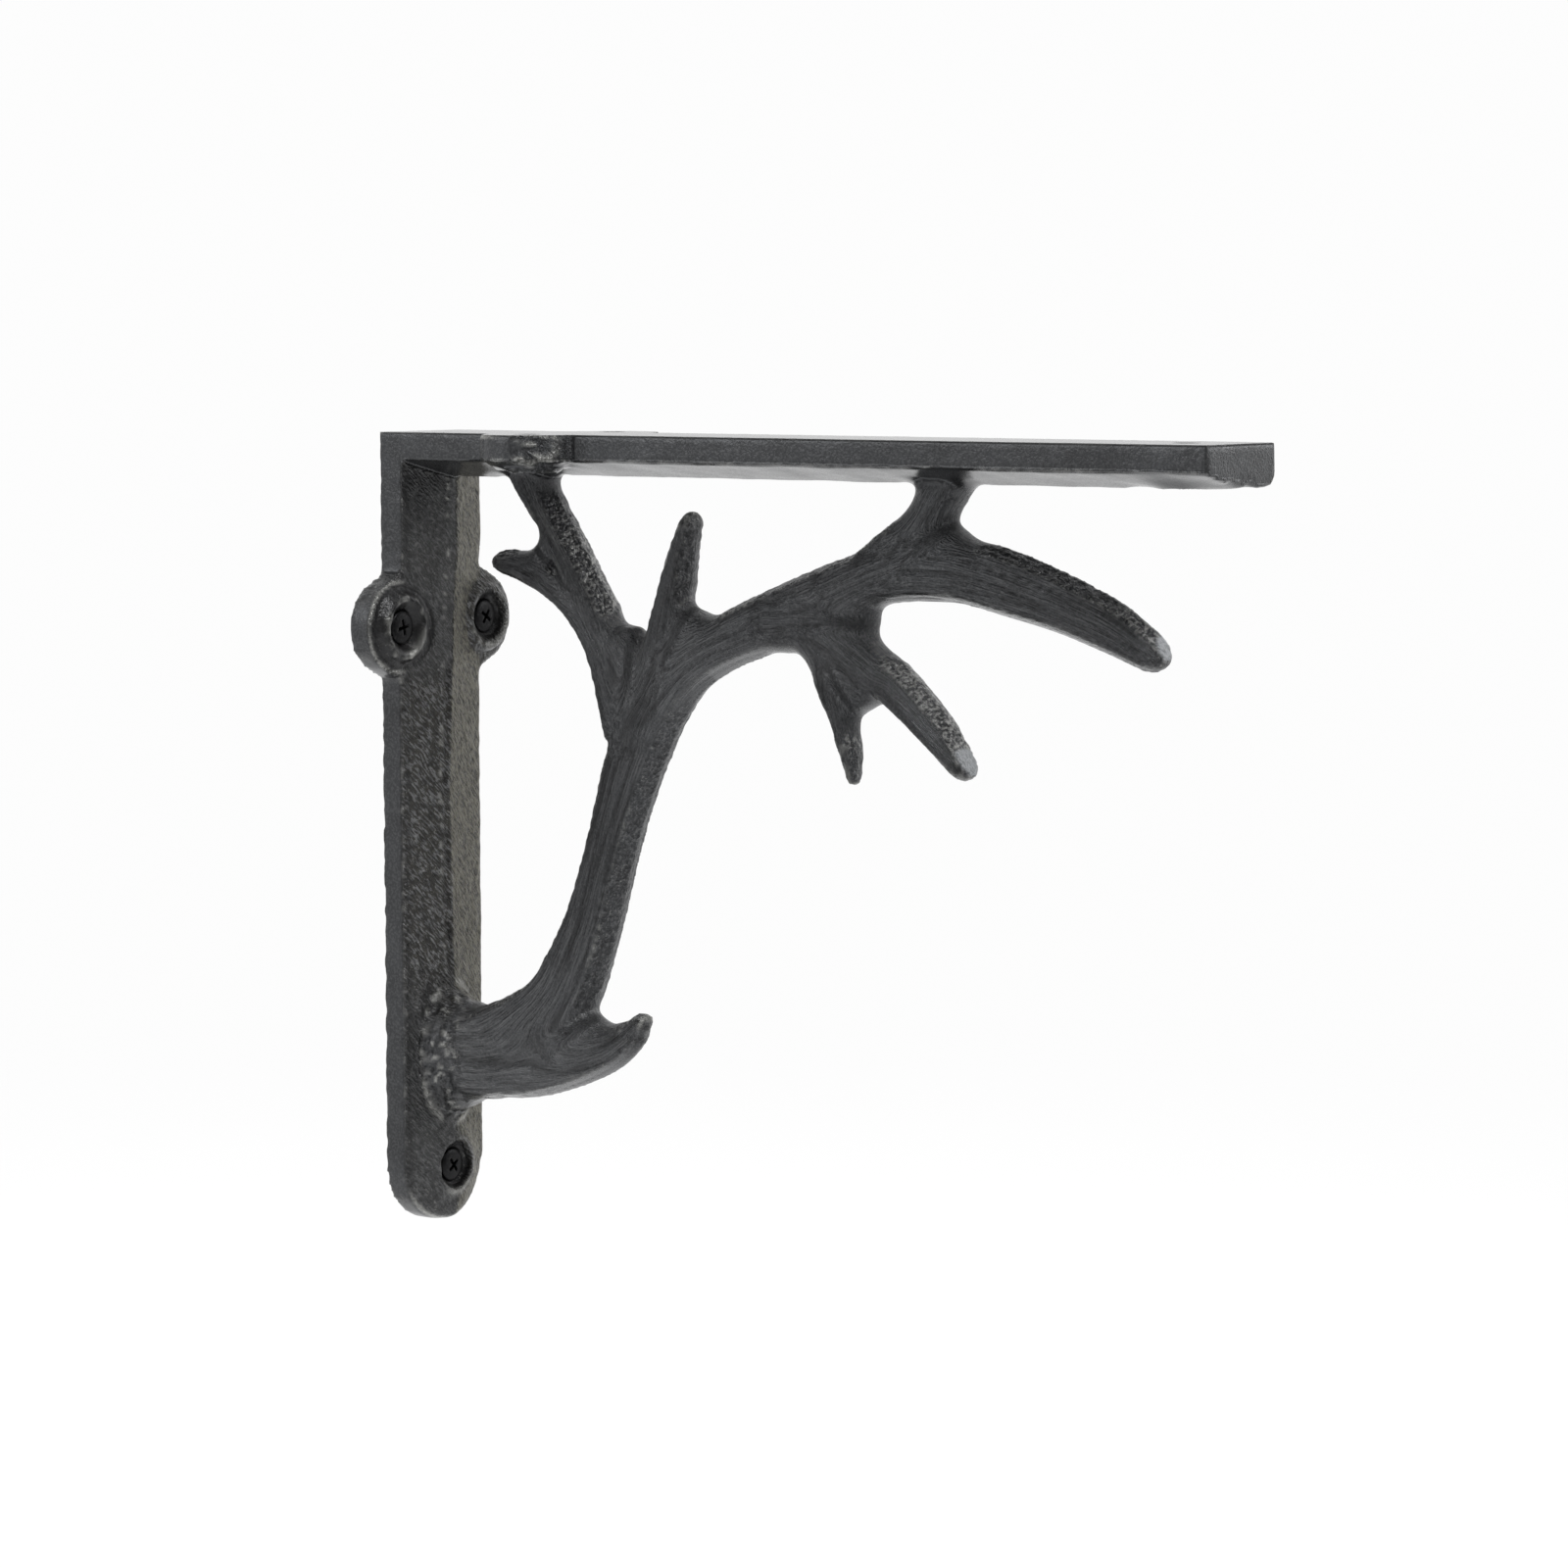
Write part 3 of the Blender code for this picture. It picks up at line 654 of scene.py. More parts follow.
# Heights between which the wall strap's ridge fades, and drops where its strokes start and stop
RIDGE_FOOT = (-126.0, -118.0)
STROKES_START = (50.0, 60.0)
STROKES_STOP = (116.0, 132.0)

# How the crumpled patch's facets lie, and where the patch is
CRUMPLE_TURN = np.array(((0.16, 0, 0.3), (0, 0.3, 0), (-0.2, 0, 0.75)))
CRUMPLE_CENTRE = np.array((50.0, -21.0, -4.0))
CRUMPLE_REACH = 7.0


@dataclass
class Zones:
    """Where each point of the fused skin lies, mostly as masks from 0 to 1."""

    points: np.ndarray
    normals: np.ndarray
    grain: np.ndarray
    antler: np.ndarray
    calm: np.ndarray
    arm_length: float

    def __post_init__(self) -> None:
        """Works out the masks from the places and the normals."""
        x, y, z = self.points.T
        out_x, out_y, out_z = self.normals.T
        self.flank = 1 - smoothstep(np.abs(out_y), 0.6, 0.92)
        wall_face = smoothstep(-out_x, 0.8, 0.95) * (x < 0.8)
        shelf_face = smoothstep(out_z, 0.8, 0.95) * (z > -0.8)
        self.flat = np.maximum(wall_face, shelf_face)
        self.under = smoothstep(-out_z, 0.45, 0.8)
        end_face = smoothstep(out_x, 0.8, 0.95) * (x > self.arm_length - 1.5)
        self.side = np.maximum(smoothstep(np.abs(out_y), 0.75, 0.95), end_face)
        self.front = (1 - self.side) * (1 - self.flat) * (1 - self.under)
        root = np.exp(-(((x - 9.5) / 5.0) ** 2) - ((z + Root.drop) / 15.0) ** 4)
        self.root = root * (x > 7.0)
        self.ridge_y = np.interp(-z, *zip(*WALL_RIDGE))
        edge = np.exp(-(((y + 13.4) / 0.55) ** 2)) * (x < 7.4)
        self.edge = edge * (x > FACETS_FROM) * (z < ARM_CLEAR)
        off = np.linalg.norm((self.points - CRUMPLE_CENTRE) / CRUMPLE_REACH, axis=1)
        self.patch = 1 - smoothstep(off, 0.4, 1.0)
        self.facets = CRUMPLES.at(self.points @ CRUMPLE_TURN)
        self.pebble = PEBBLES.at(self.points)
        self.pits = PITS.at(self.points)


@dataclass
class Casting:
    """The whole bracket as it left the sand mould."""

    wall_length: float = 178.0
    arm_length: float = 208.5
    half_breadth: float = 24.8
    voxel: float = 0.76
    light_passes: int = 2
    fillet_passes: int = 130
    girth: float = 6.0
    worn_span: tuple[float, float] = (0.056, 0.137)
    straps: list[Strap] = field(default_factory=list)

    def __post_init__(self) -> None:
        """Places the two straps."""
        wall = Matrix(((0, 0, 1, 0), (0, 1, 0, 0), (-1, 0, 0, 0), (0, 0, 0, 1)))
        arm = Matrix(((1, 0, 0, 0), (0, -1, 0, 0), (0, 0, -1, 0), (0, 0, 0, 1)))
        self.straps = [
            Strap("wall_strap", self.wall_length, End.ROUND, wall, WALL_RIDGE),
            Strap("shelf_arm", self.arm_length, End.SQUARE, arm),
        ]

    def fused(self) -> bpy.types.Object:
        """Straps, antler and root, fused into one skin."""
        bm = bmesh.new()
        for strap in self.straps:
            bar = strap.build()
            bm.from_mesh(bar.data)
            bpy.data.objects.remove(bar)
        antler = bmesh.new()
        for branch in ANTLER:
            branch.loft(antler)
        Root().build(antler)
        bmesh.ops.recalc_face_normals(antler, faces=antler.faces)
        shapes = bpy.data.meshes.new("antler")
        antler.to_mesh(shapes)
        antler.free()
        bm.from_mesh(shapes)
        skin = bpy.data.meshes.new("casting")
        bm.to_mesh(skin)
        bm.free()
        casting = bpy.data.objects.new("casting", skin)
        bpy.context.scene.collection.objects.link(casting)
        fuse = casting.modifiers.new("fuse", "REMESH")
        fuse.mode = "VOXEL"
        fuse.voxel_size = self.voxel
        ease = casting.modifiers.new("ease", "SMOOTH")
        ease.factor = 0.5
        ease.iterations = self.light_passes
        bake_modifiers(casting)
        return casting

    def crotches(self, points: np.ndarray) -> np.ndarray:
        """A mask that is 1 in the crotches between the branches."""
        mask = np.zeros(len(points))
        for x, drop, reach in FILLETS:
            distance = np.hypot(points[:, 0] - x, points[:, 2] + drop)
            mask = np.maximum(mask, 1 - smoothstep(distance, 0.55 * reach, 1.1 * reach))
        return mask

    def fillet(self, casting: bpy.types.Object) -> None:
        """Rounds off the crotches between the branches."""
        points = vertex_array(casting.data)
        weight = self.crotches(points)
        for across, up, lift in (
            (points[:, 1], points[:, 2] + self.wall_length - END_HOLE_FROM_END, points[:, 0]),
            (points[:, 1], points[:, 0] - self.arm_length + END_HOLE_FROM_END, -points[:, 2]),
        ):
            ring = np.hypot(across, up)
            dome = smoothstep(ring, 5.6, 7.0) * (1 - smoothstep(ring, 11.0, 14.0))
            weight = np.maximum(weight, dome * smoothstep(lift, 4.5, 6.0) * (lift < 12.0))
        weight[(points[:, 0] < 0.6) | (points[:, 2] > -0.6)] = 0.0
        group = casting.vertex_groups.new(name="fillets")
        for index in np.flatnonzero(weight > 0.01).tolist():
            group.add([index], float(weight[index]), "REPLACE")
        rounding = casting.modifiers.new("fillets", "SMOOTH")
        rounding.factor = 0.5
        rounding.iterations = self.fillet_passes
        rounding.vertex_group = group.name
        bake_modifiers(casting)
        casting.vertex_groups.clear()

    def grain(self, points: np.ndarray) -> tuple[np.ndarray, np.ndarray]:
        """The antler's grain at each point.

        Args:
            points: Points in the drawing frame.

        Returns:
            The place in the nearest branch's section, in millimetres round it and along it, and
            a mask that is 1 on the antler and 0 on the straps.
        """
        found = [branch.grain(points) for branch in ANTLER if branch.tip is not Tip.BLUNT]
        out = np.stack([f[1] for f in found])
        share = np.exp(-(out - out.min(axis=0)) / 0.12)
        share /= share.sum(axis=0)
        local = sum(s[:, None] * f[0] for s, f in zip(share, found))
        local[:, :2] *= self.girth
        mask = 1 - smoothstep(out.min(axis=0), 1.25, 1.6)
        mask *= smoothstep(points[:, 0], 12.0, 15.0) * smoothstep(-points[:, 2], 8.5, 11.0)
        return local, mask

    def antler_relief(self, zones: Zones) -> tuple[np.ndarray, np.ndarray]:
        """The antler's furrows and, on its flanks, the pebbly sand.

        Args:
            zones: Where the points lie.

        Returns:
            The heights, and a mask of the furrows.
        """
        furrow = np.exp(-((FURROWS.at(zones.grain) / 0.09) ** 2)) * zones.calm
        groove = -0.36 * furrow + 0.08 * HAIRLINES.at(zones.grain)
        sand = 0.24 * zones.pebble * zones.flank * (1 - zones.under)
        return (groove * (1 - 0.45 * zones.flank) + sand) * zones.calm, furrow

    def strap_relief(self, zones: Zones) -> np.ndarray:
        """The straps' sand grain, broken seam, beaded edge and crumpled patch, as heights."""
        x, y, z = zones.points.T
        grit = GRIT.at(zones.points)
        scale = SCALES.at(zones.points * np.array((0.4, 0.75, 0.4)) + zones.points[:, 1:2] * 0.3)
        coarse = zones.front * (1 + 0.9 * (y < zones.ridge_y) * (z < -10.0))
        height = coarse * (0.12 * zones.pebble + 0.12 * scale + 0.08 * grit)
        height = height + 0.16 * LUMPS.at(zones.points)
        height += zones.side * 0.06 * zones.pebble + zones.under * 0.04 * grit
        jag = 0.9 * SEAM_JAG.at(zones.points)
        seam = np.exp(-(((y - zones.ridge_y + 1.0 + jag) / 0.6) ** 2))
        seam *= smoothstep(x, 7.6, 8.4) * (x < 9.8)
        seam *= smoothstep(z, *RIDGE_FOOT) * smoothstep(-z, 40.0, 50.0)
        height -= 0.55 * seam * smoothstep(SEAM_BREAKS.at(zones.points), -0.35, 0.1)
        bead = smoothstep(EDGE_BEADS.at(zones.points), -0.05, 0.35)
        height += 0.32 * zones.edge * bead - 0.2 * zones.edge
        return height + 1.1 * zones.patch * zones.facets

    def relief(self, mesh: bpy.types.Mesh) -> None:
        """Carves the casting's relief into its points and stores what its finish needs.

        Args:
            mesh: The fused skin, in the drawing frame.
        """
        start = vertex_array(mesh)
        calm = 1 - 0.85 * self.crotches(start) ** 2
        zones = Zones(start, normal_array(mesh), *self.grain(start), calm, self.arm_length)
        on_antler, furrow = self.antler_relief(zones)
        height = zones.antler * on_antler + (1 - zones.antler) * self.strap_relief(zones)
        height -= zones.root * 0.75 * smoothstep(zones.pits, -0.15, 0.35) - zones.root * 0.25
        height *= 1 - zones.flat
        points = start + zones.normals * height[:, None]
        self.grind_tips(points)
        low = (0.0, -self.half_breadth, -self.wall_length)
        points = np.clip(points, low, (self.arm_length, self.half_breadth, 0.0))
        flush = zones.flat > 0.5
        points[flush & (points[:, 0] < 0.5), 0] = 0.0
        points[flush & (points[:, 2] > -0.5), 2] = 0.0
        mesh.vertices.foreach_set("co", points.ravel())
        mesh.update()
        self.store_wear(mesh, points, zones)
        self.store_zones(mesh, points, zones)
        store(mesh, "furrow", furrow * zones.antler * (1 - zones.flank))

    def store_wear(self, mesh: bpy.types.Mesh, points: np.ndarray, zones: Zones) -> None:
        """Stores the bright marks, partly rubbed wear and partly painted highlights, and the painted
        shade.

        Args:
            mesh: The carved skin.
            points: Its points.
            zones: Where they lie.
        """
        x, y, z = points.T
        # Rubbed wear on convex edges; most marks added below are painted highlights
        worn = smoothstep(convexity(mesh), *self.worn_span) * zones.calm
        # Painted glints on the crumpled patch
        worn = np.maximum(worn, 0.8 * zones.patch * smoothstep(zones.facets, -0.1, 0.35))
        # Painted highlight along the shelf arm's near ear rim
        ear_rim_glint = (z > -0.7) * (y < -14.6) * np.exp(-(((x - 37.0) / 3.5) ** 2))
        worn = np.maximum(worn, ear_rim_glint)
        # Painted shade in the screw cups and painted highlights on their rims
        painted_shade, painted_highlight = self.cups(points)
        # Painted glints on the burr's pearls
        pearls = zones.root * smoothstep(PEARL_LIGHTS.at(points), 0.24, 0.4) * (x > 9.6)
        worn = np.maximum(worn, pearls)
        # Painted shade in the root's pits
        painted_shade = np.maximum(painted_shade, 0.7 * zones.root * smoothstep(zones.pits, -0.3, 0.0))
        worn *= (x < self.arm_length - 2.0) * (1 - 0.7 * zones.edge)
        worn = np.maximum(worn, painted_highlight)
        on_facet = (x > FACETS_FROM) * (x < FACETS_TO) * (z < ARM_CLEAR)
        # Painted highlight dots beside the ridge
        ridge_glints = np.exp(-(((y - zones.ridge_y + 2.6) / 0.4) ** 2)) * on_facet
        ridge_glints *= smoothstep(RIDGE_GLINTS.at(points), 0.16, 0.34)
        worn = np.maximum(worn, 0.8 * ridge_glints * smoothstep(z, *RIDGE_FOOT))
        # Painted shade along the facet's near edge
        painted_shade = np.maximum(painted_shade, 0.6 * np.exp(-(((y + 12.6) / 0.8) ** 2)) * on_facet)
        # Painted highlight round the pad's rim
        pad = np.hypot(y / Root.half_width, (z + Root.drop) / Root.half_height)
        rim = np.exp(-(((pad - 0.99) / 0.05) ** 2)) * (x > 7.0) * (x < 12.5)
        worn = np.maximum(worn, 0.8 * rim * smoothstep(RIM_BREAKS.at(points), -0.2, 0.1))
        store(mesh, "worn", worn * (1 - zones.flat))
        # Painted shade on the arm's side, deeper towards its end
        arm_side_shade = zones.side * (1 - zones.antler) * smoothstep(x, 80.0, 185.0) * (x < 196.0)
        store(mesh, "painted_shade", np.maximum(painted_shade * (1 - zones.side), 0.32 * arm_side_shade))

    def store_zones(self, mesh: bpy.types.Mesh, points: np.ndarray, zones: Zones) -> None:
        """Stores where the finish changes.

        Args:
            mesh: The carved skin.
            points: Its points.
            zones: Where they lie.
        """
        x, y, z = points.T
        antler, flank, front = zones.antler, zones.flank, zones.front
        out_z = zones.normals[:, 2]
        store(mesh, "grain", zones.grain)
        store(mesh, "antler", antler)
        store(mesh, "flank", flank * antler * (1 - zones.under) * zones.calm)
        store(mesh, "smooth", np.maximum(zones.flat, zones.under))
        store(mesh, "ground", self.ground_tips(points))
        # Painted reflection: the antler's undersides are marked to be made lighter
        hollow = (x > 82.0) | (z < -130.0)
        pale = smoothstep(-out_z, 0.5, 0.85) * antler * hollow
        store(mesh, "pale", pale * smoothstep(-z, 20.0, 30.0))
        busy = smoothstep(-z, *STROKES_START) * (1 - smoothstep(-z, *STROKES_STOP))
        plain = (1 - busy) * (x < 11.0) * (y < zones.ridge_y)
        store(mesh, "front", front * (1 - antler) * (1 - 0.45 * plain))
        warm = front * (1 - antler) * smoothstep(x, 14.0, 11.0)
        store(mesh, "warm", warm * (1 - 0.65 * plain))
        # Painted light: the antler's foot, brow tine and crown are marked to be made lighter
        lift = 0.15 * smoothstep(-z, 105.0, 130.0)
        lift += 0.17 * (1 - smoothstep(x, 78.0, 90.0)) * smoothstep(z, -62.0, -46.0)
        store(mesh, "lift", lift * antler)
        # Painted light on the antler's flanks that face up
        tilt = smoothstep(out_z, -0.1, 0.3) * (1 - smoothstep(out_z, 0.72, 0.86))
        tilt *= smoothstep(-z, 14.0, 24.0)
        store(mesh, "lit", flank * antler * tilt * zones.calm)
        # Painted light on the wall strap's facet beyond the ridge
        beyond_ridge = smoothstep(y - zones.ridge_y, -0.4, 0.4) * (y < 13.8)
        hole = np.hypot(y - HOLE_SPACING / 2, z + ear_from_corner(Side.FAR))
        end = np.hypot(y, z + self.wall_length - END_HOLE_FROM_END)
        far = beyond_ridge * smoothstep(hole, 6.5, 8.0) * smoothstep(end, 6.0, 8.0)
        store(mesh, "far", far * smoothstep(zones.normals[:, 1], 0.0, 0.15))

    @staticmethod
    def cups(points: np.ndarray) -> tuple[np.ndarray, np.ndarray]:
        """Painted shade in the wall strap's screw cups, and painted highlights on their rims and on a
        few outer edges.

        Args:
            points: Points in the drawing frame.

        Returns:
            A mask of painted shade in the cups and over the near ear, and one of painted highlights
            on the rims.
        """
        painted_shade, painted_highlight = np.zeros(len(points)), np.zeros(len(points))
        face = (points[:, 0] > FACETS_FROM) & (points[:, 0] < 11.0)
        for y, drop, dark_reach, toward in CUPS:
            across, up = points[:, 1] - y, points[:, 2] + drop
            radius = np.hypot(across, up) + 1e-6
            # Painted shade in the cup, reaching over the near ear
            painted_shade = np.maximum(painted_shade, face * (1 - smoothstep(radius, dark_reach - 0.8, dark_reach + 0.4)))
            # A painted highlight on the side of the rim that faces the light
            facing = (across * toward[0] + up * toward[1]) / radius
            ring = np.exp(-(((radius - 6.0) / 0.75) ** 2)) * smoothstep(facing, 0.55, 0.95)
            painted_highlight = np.maximum(painted_highlight, 0.8 * face * ring)
        for y, drop, reach, toward in RIM_GLINTS:
            across, up = points[:, 1] - y, points[:, 2] + drop
            radius = np.hypot(across, up) + 1e-6
            facing = (across * toward[0] + up * toward[1]) / radius
            # A painted highlight along the outer edge
            rim = np.exp(-(((radius - reach) / 0.25) ** 2)) * smoothstep(facing, 0.6, 0.85)
            painted_highlight = np.maximum(painted_highlight, rim * (points[:, 0] > 5.0) * (points[:, 0] < 7.6))
        return painted_shade, painted_highlight

    @staticmethod
    def grind_tips(points: np.ndarray) -> None:
        """Flattens the points of a few tines, where the casting was ground."""
        for (x, z), (nx, nz), reach in TIP_CUTS:
            over = (points[:, 0] - x) * nx + (points[:, 2] - z) * nz
            near = np.hypot(points[:, 0] - x, points[:, 2] - z) < 2.2 * reach
            cut = near & (over > 0)
            points[cut, 0] -= over[cut] * nx
            points[cut, 2] -= over[cut] * nz

    @staticmethod
    def ground_tips(points: np.ndarray) -> np.ndarray:
        """A mask that is 1 on the ground facets of the tines."""
        mask = np.zeros(len(points))
        for (x, z), (nx, nz), reach in TIP_CUTS:
            over = np.abs((points[:, 0] - x) * nx + (points[:, 2] - z) * nz)
            near = np.hypot(points[:, 0] - x, points[:, 2] - z)
            mask = np.maximum(mask, (1 - smoothstep(over, 0.05, 0.4)) * (near < reach))
        return mask

    def build(self, finish: "CastIron") -> bpy.types.Object:
        """Builds and dresses the casting.

        Args:
            finish: What it is made of.

        Returns:
            The finished piece, in the row's frame.
        """
        casting = self.fused()
        self.fillet(casting)
        self.relief(casting.data)
        casting.data.transform(ROW_PLACE)
        casting.data.shade_smooth()
        casting.data.materials.append(finish.material())
        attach(casting, "root")
        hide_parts("bracket_casting")
        return casting


def vertex_array(mesh: bpy.types.Mesh) -> np.ndarray:
    """A mesh's points as an array with a row each."""
    values = np.empty(len(mesh.vertices) * 3)
    mesh.vertices.foreach_get("co", values)
    return values.reshape(-1, 3)


def normal_array(mesh: bpy.types.Mesh) -> np.ndarray:
    """A mesh's vertex normals as an array with a row each."""
    values = np.empty(len(mesh.vertices) * 3)
    mesh.vertex_normals.foreach_get("vector", values)
    return values.reshape(-1, 3)


def convexity(mesh: bpy.types.Mesh, passes: int = 2) -> np.ndarray:
    """How far each point stands out from its neighbours along its normal, evened out."""
    ends = np.empty(len(mesh.edges) * 2, dtype=np.int64)
    mesh.edges.foreach_get("vertices", ends)
    first, second = ends[0::2], ends[1::2]
    count = len(mesh.vertices)
    degree = np.bincount(first, minlength=count) + np.bincount(second, minlength=count)

    def neighbours(values: np.ndarray) -> np.ndarray:
        """The mean of a value over each point's neighbours."""
        total = np.bincount(first, values[second], count) + np.bincount(second, values[first], count)
        return total / np.maximum(degree, 1)

    points, normals = vertex_array(mesh), normal_array(mesh)
    mean = np.stack([neighbours(points[:, axis]) for axis in range(3)], axis=1)
    out = ((points - mean) * normals).sum(axis=1)
    for _ in range(passes):
        out = 0.5 * (out + neighbours(out))
    return out


def store(mesh: bpy.types.Mesh, name: str, values: np.ndarray) -> None:
    """Stores a number or a vector for each point under a name."""
    vector = values.ndim == 2
    attribute = mesh.attributes.new(name, "FLOAT_VECTOR" if vector else "FLOAT", "POINT")
    attribute.data.foreach_set("vector" if vector else "value", values.ravel())


# The wall screws


@dataclass
class WallScrew:
    """A cross-recessed countersunk screw in the wall strap."""

    name: str
    from_corner: float
    across: float
    face: float
    turn: float
    head_radius: float = 3.65
    shank_radius: float = 2.0
    below_boss: float = 0.4
    short_of_wall: float = 0.3
    recess_reach: float = 2.2
    recess_width: float = 0.85
    recess_depth: float = 1.7

    def body(self) -> bmesh.types.BMesh:
        """The head and shank, turned."""
        top = self.face - self.below_boss
        cone = self.head_radius - self.shank_radius
        return turned(
            [
                (0.0, top + 0.25),
                (1.6, top + 0.22),
                (2.8, top + 0.12),
                (self.head_radius - 0.25, top - 0.05),
                (self.head_radius, top - 0.3),
                (self.shank_radius, top - 0.3 - cone),
                (self.shank_radius, self.short_of_wall),
                (0.0, self.short_of_wall),
            ],
            56,
        )

    def recess(self) -> bmesh.types.BMesh:
        """The cross that cuts the recess: two crossed bars over a pointed core."""
        bm = bmesh.new()
        top = self.face + 0.6
        floor = self.face - self.below_boss - self.recess_depth
        for angle in (self.turn, self.turn + math.pi / 2):
            bar = bmesh.ops.create_cube(bm, size=1.0)["verts"]
            size = (2 * self.recess_reach, self.recess_width, top - floor)
            bmesh.ops.scale(bm, verts=bar, vec=size)
            low = [v for v in bar if v.co.z < 0]
            bmesh.ops.scale(bm, verts=low, vec=(0.42, 0.75, 1.0))
            bmesh.ops.translate(bm, verts=bar, vec=(0.0, 0.0, (top + floor) / 2))
            bmesh.ops.rotate(bm, verts=bar, matrix=Matrix.Rotation(angle, 3, "Z"))
        return bm

    def build(self, finish: "BlackSteel") -> bpy.types.Object:
        """Builds and dresses the screw.

        Args:
            finish: What it is made of.

        Returns:
            The finished piece, in the row's frame.
        """
        upright = Matrix(((0, 0, 1, 0), (0, 1, 0, 0), (-1, 0, 0, 0), (0, 0, 0, 1)))
        place = ROW_PLACE @ upright @ Matrix.Translation((self.from_corner, self.across, 0.0))
        screw = mesh_object(self.body(), f"{self.name}_screw", place)
        cutter = mesh_object(self.recess(), f"{self.name}_recess", place)
        combine(screw, cutter, "DIFFERENCE").use_self = True
        soft = screw.modifiers.new("worn edges", "BEVEL")
        soft.width = 0.08 * MM
        soft.segments = 2
        soft.limit_method = "ANGLE"
        bake_modifiers(screw, [cutter])
        screw.data.materials.clear()
        screw.data.materials.append(finish.material())
        screw.data.shade_smooth()
        screw.data.set_sharp_from_angle(angle=math.radians(35.0))
        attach(screw, "root")
        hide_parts(f"wall_screw_{self.name}")
        return screw


# Finishes


class Wire:
    """A socket in a node tree, so that shader maths reads as arithmetic."""

    def __init__(self, tree: bpy.types.NodeTree, socket: bpy.types.NodeSocket) -> None:
        """Wraps an output socket."""
        self.tree = tree
        self.socket = socket

    def _math(self, operation: str, first: "Wire | float", second: "Wire | float") -> "Wire":
        """Adds a Math node for one operation on two values."""
        node = self.tree.nodes.new("ShaderNodeMath")
        node.operation = operation
        for socket, value in zip(node.inputs, (first, second)):
            connect(self.tree, socket, value)
        return Wire(self.tree, node.outputs[0])

    def __add__(self, other: "Wire | float") -> "Wire":
        """self + other."""
        return self._math("ADD", self, other)

    def __radd__(self, other: float) -> "Wire":
        """other + self."""
        return self._math("ADD", other, self)

    def __sub__(self, other: "Wire | float") -> "Wire":
        """self - other."""
        return self._math("SUBTRACT", self, other)

    def __rsub__(self, other: float) -> "Wire":
        """other - self."""
        return self._math("SUBTRACT", other, self)

    def __mul__(self, other: "Wire | float") -> "Wire":
        """self * other."""
        return self._math("MULTIPLY", self, other)

    def __rmul__(self, other: float) -> "Wire":
        """other * self."""
        return self._math("MULTIPLY", other, self)


def connect(tree: bpy.types.NodeTree, socket: bpy.types.NodeSocket, value: object) -> None:
    """Links a wire to an input socket, or sets the socket to a plain value."""
    if isinstance(value, Wire):
        tree.links.new(value.socket, socket)
    else:
        socket.default_value = value


class Shader:
    """A material's node tree, built one node at a time."""

    def __init__(self, name: str) -> None:
        """Starts a material with its Principled shader."""
        self.material = bpy.data.materials.new(name)
        self.material.use_nodes = True
        self.tree = self.material.node_tree
        self.surface = self.tree.nodes["Principled BSDF"]

    def node(self, kind: str, settings: dict | None = None, **inputs: object) -> bpy.types.Node:
        """Adds a node.

        Args:
            kind: The node's type.
            settings: Its own settings, set before its sockets.
            inputs: Values or wires for its sockets, an underscore standing for a space.

        Returns:
            The node.
        """
        node = self.tree.nodes.new(kind)
        for key, value in (settings or {}).items():
            setattr(node, key, value)
        for key, value in inputs.items():
            connect(self.tree, node.inputs[key.replace("_", " ")], value)
        return node

    def wire(self, node: bpy.types.Node, output: str | int = 0) -> Wire:
        """One output of a node."""
        return Wire(self.tree, node.outputs[output])

    def place_mm(self) -> Wire:
        """The place on the object, in millimetres."""
        place = self.wire(self.node("ShaderNodeTexCoord"), "Object")
        scaled = self.node("ShaderNodeVectorMath", {"operation": "SCALE"}, Vector=place, Scale=1 / MM)
        return self.wire(scaled)

    def stored(self, name: str, output: str = "Fac") -> Wire:
        """A value that the mesh stores for each point."""
        return self.wire(self.node("ShaderNodeAttribute", {"attribute_name": name}), output)

    def stretched(self, vector: Wire, scale: tuple[float, float, float]) -> Wire:
        """A vector multiplied part by part."""
        node = self.node("ShaderNodeVectorMath", {"operation": "MULTIPLY"})
        connect(self.tree, node.inputs[0], vector)
        node.inputs[1].default_value = scale
        return self.wire(node)

    def turned_about_x(self, vector: Wire, angle: float) -> Wire:
        """A vector turned about the x axis."""
        node = self.node(
            "ShaderNodeVectorRotate", {"rotation_type": "X_AXIS"}, Vector=vector, Angle=angle
        )
        return self.wire(node)

    def noise(self, vector: Wire, scale: float, detail: float = 2.0, rough: float = 0.5) -> Wire:
        """Noise from 0 to 1."""
        node = self.node(
            "ShaderNodeTexNoise", Vector=vector, Scale=scale, Detail=detail, Roughness=rough
        )
        return self.wire(node, "Fac")

    def ramp(self, value: Wire, low: float, high: float) -> Wire:
        """A soft step of a value from 0 at low to 1 at high."""
        node = self.node("ShaderNodeMapRange", {"interpolation_type": "SMOOTHSTEP"}, Value=value)
        node.inputs["From Min"].default_value = low
        node.inputs["From Max"].default_value = high
        return self.wire(node)

    def mix(self, factor: Wire, first: object, second: object) -> Wire:
        """A colour between two, by a factor."""
        node = self.node("ShaderNodeMix", {"data_type": "RGBA"})
        connect(self.tree, node.inputs["Factor"], factor)
        for name, value in (("A", first), ("B", second)):
            socket = next(s for s in node.inputs if s.name == name and s.type == "RGBA")
            connect(self.tree, socket, value)
        return self.wire(node, 2)

    def bump(self, height: Wire, distance_mm: float, strength: float) -> None:
        """Roughens the surface by a height."""
        node = self.node(
            "ShaderNodeBump", Height=height, Distance=distance_mm * MM, Strength=strength
        )
        connect(self.tree, self.surface.inputs["Normal"], self.wire(node, "Normal"))

    def set(self, **inputs: object) -> None:
        """Sets or links sockets of the Principled shader."""
        for key, value in inputs.items():
            connect(self.tree, self.surface.inputs[key.replace("_", " ")], value)


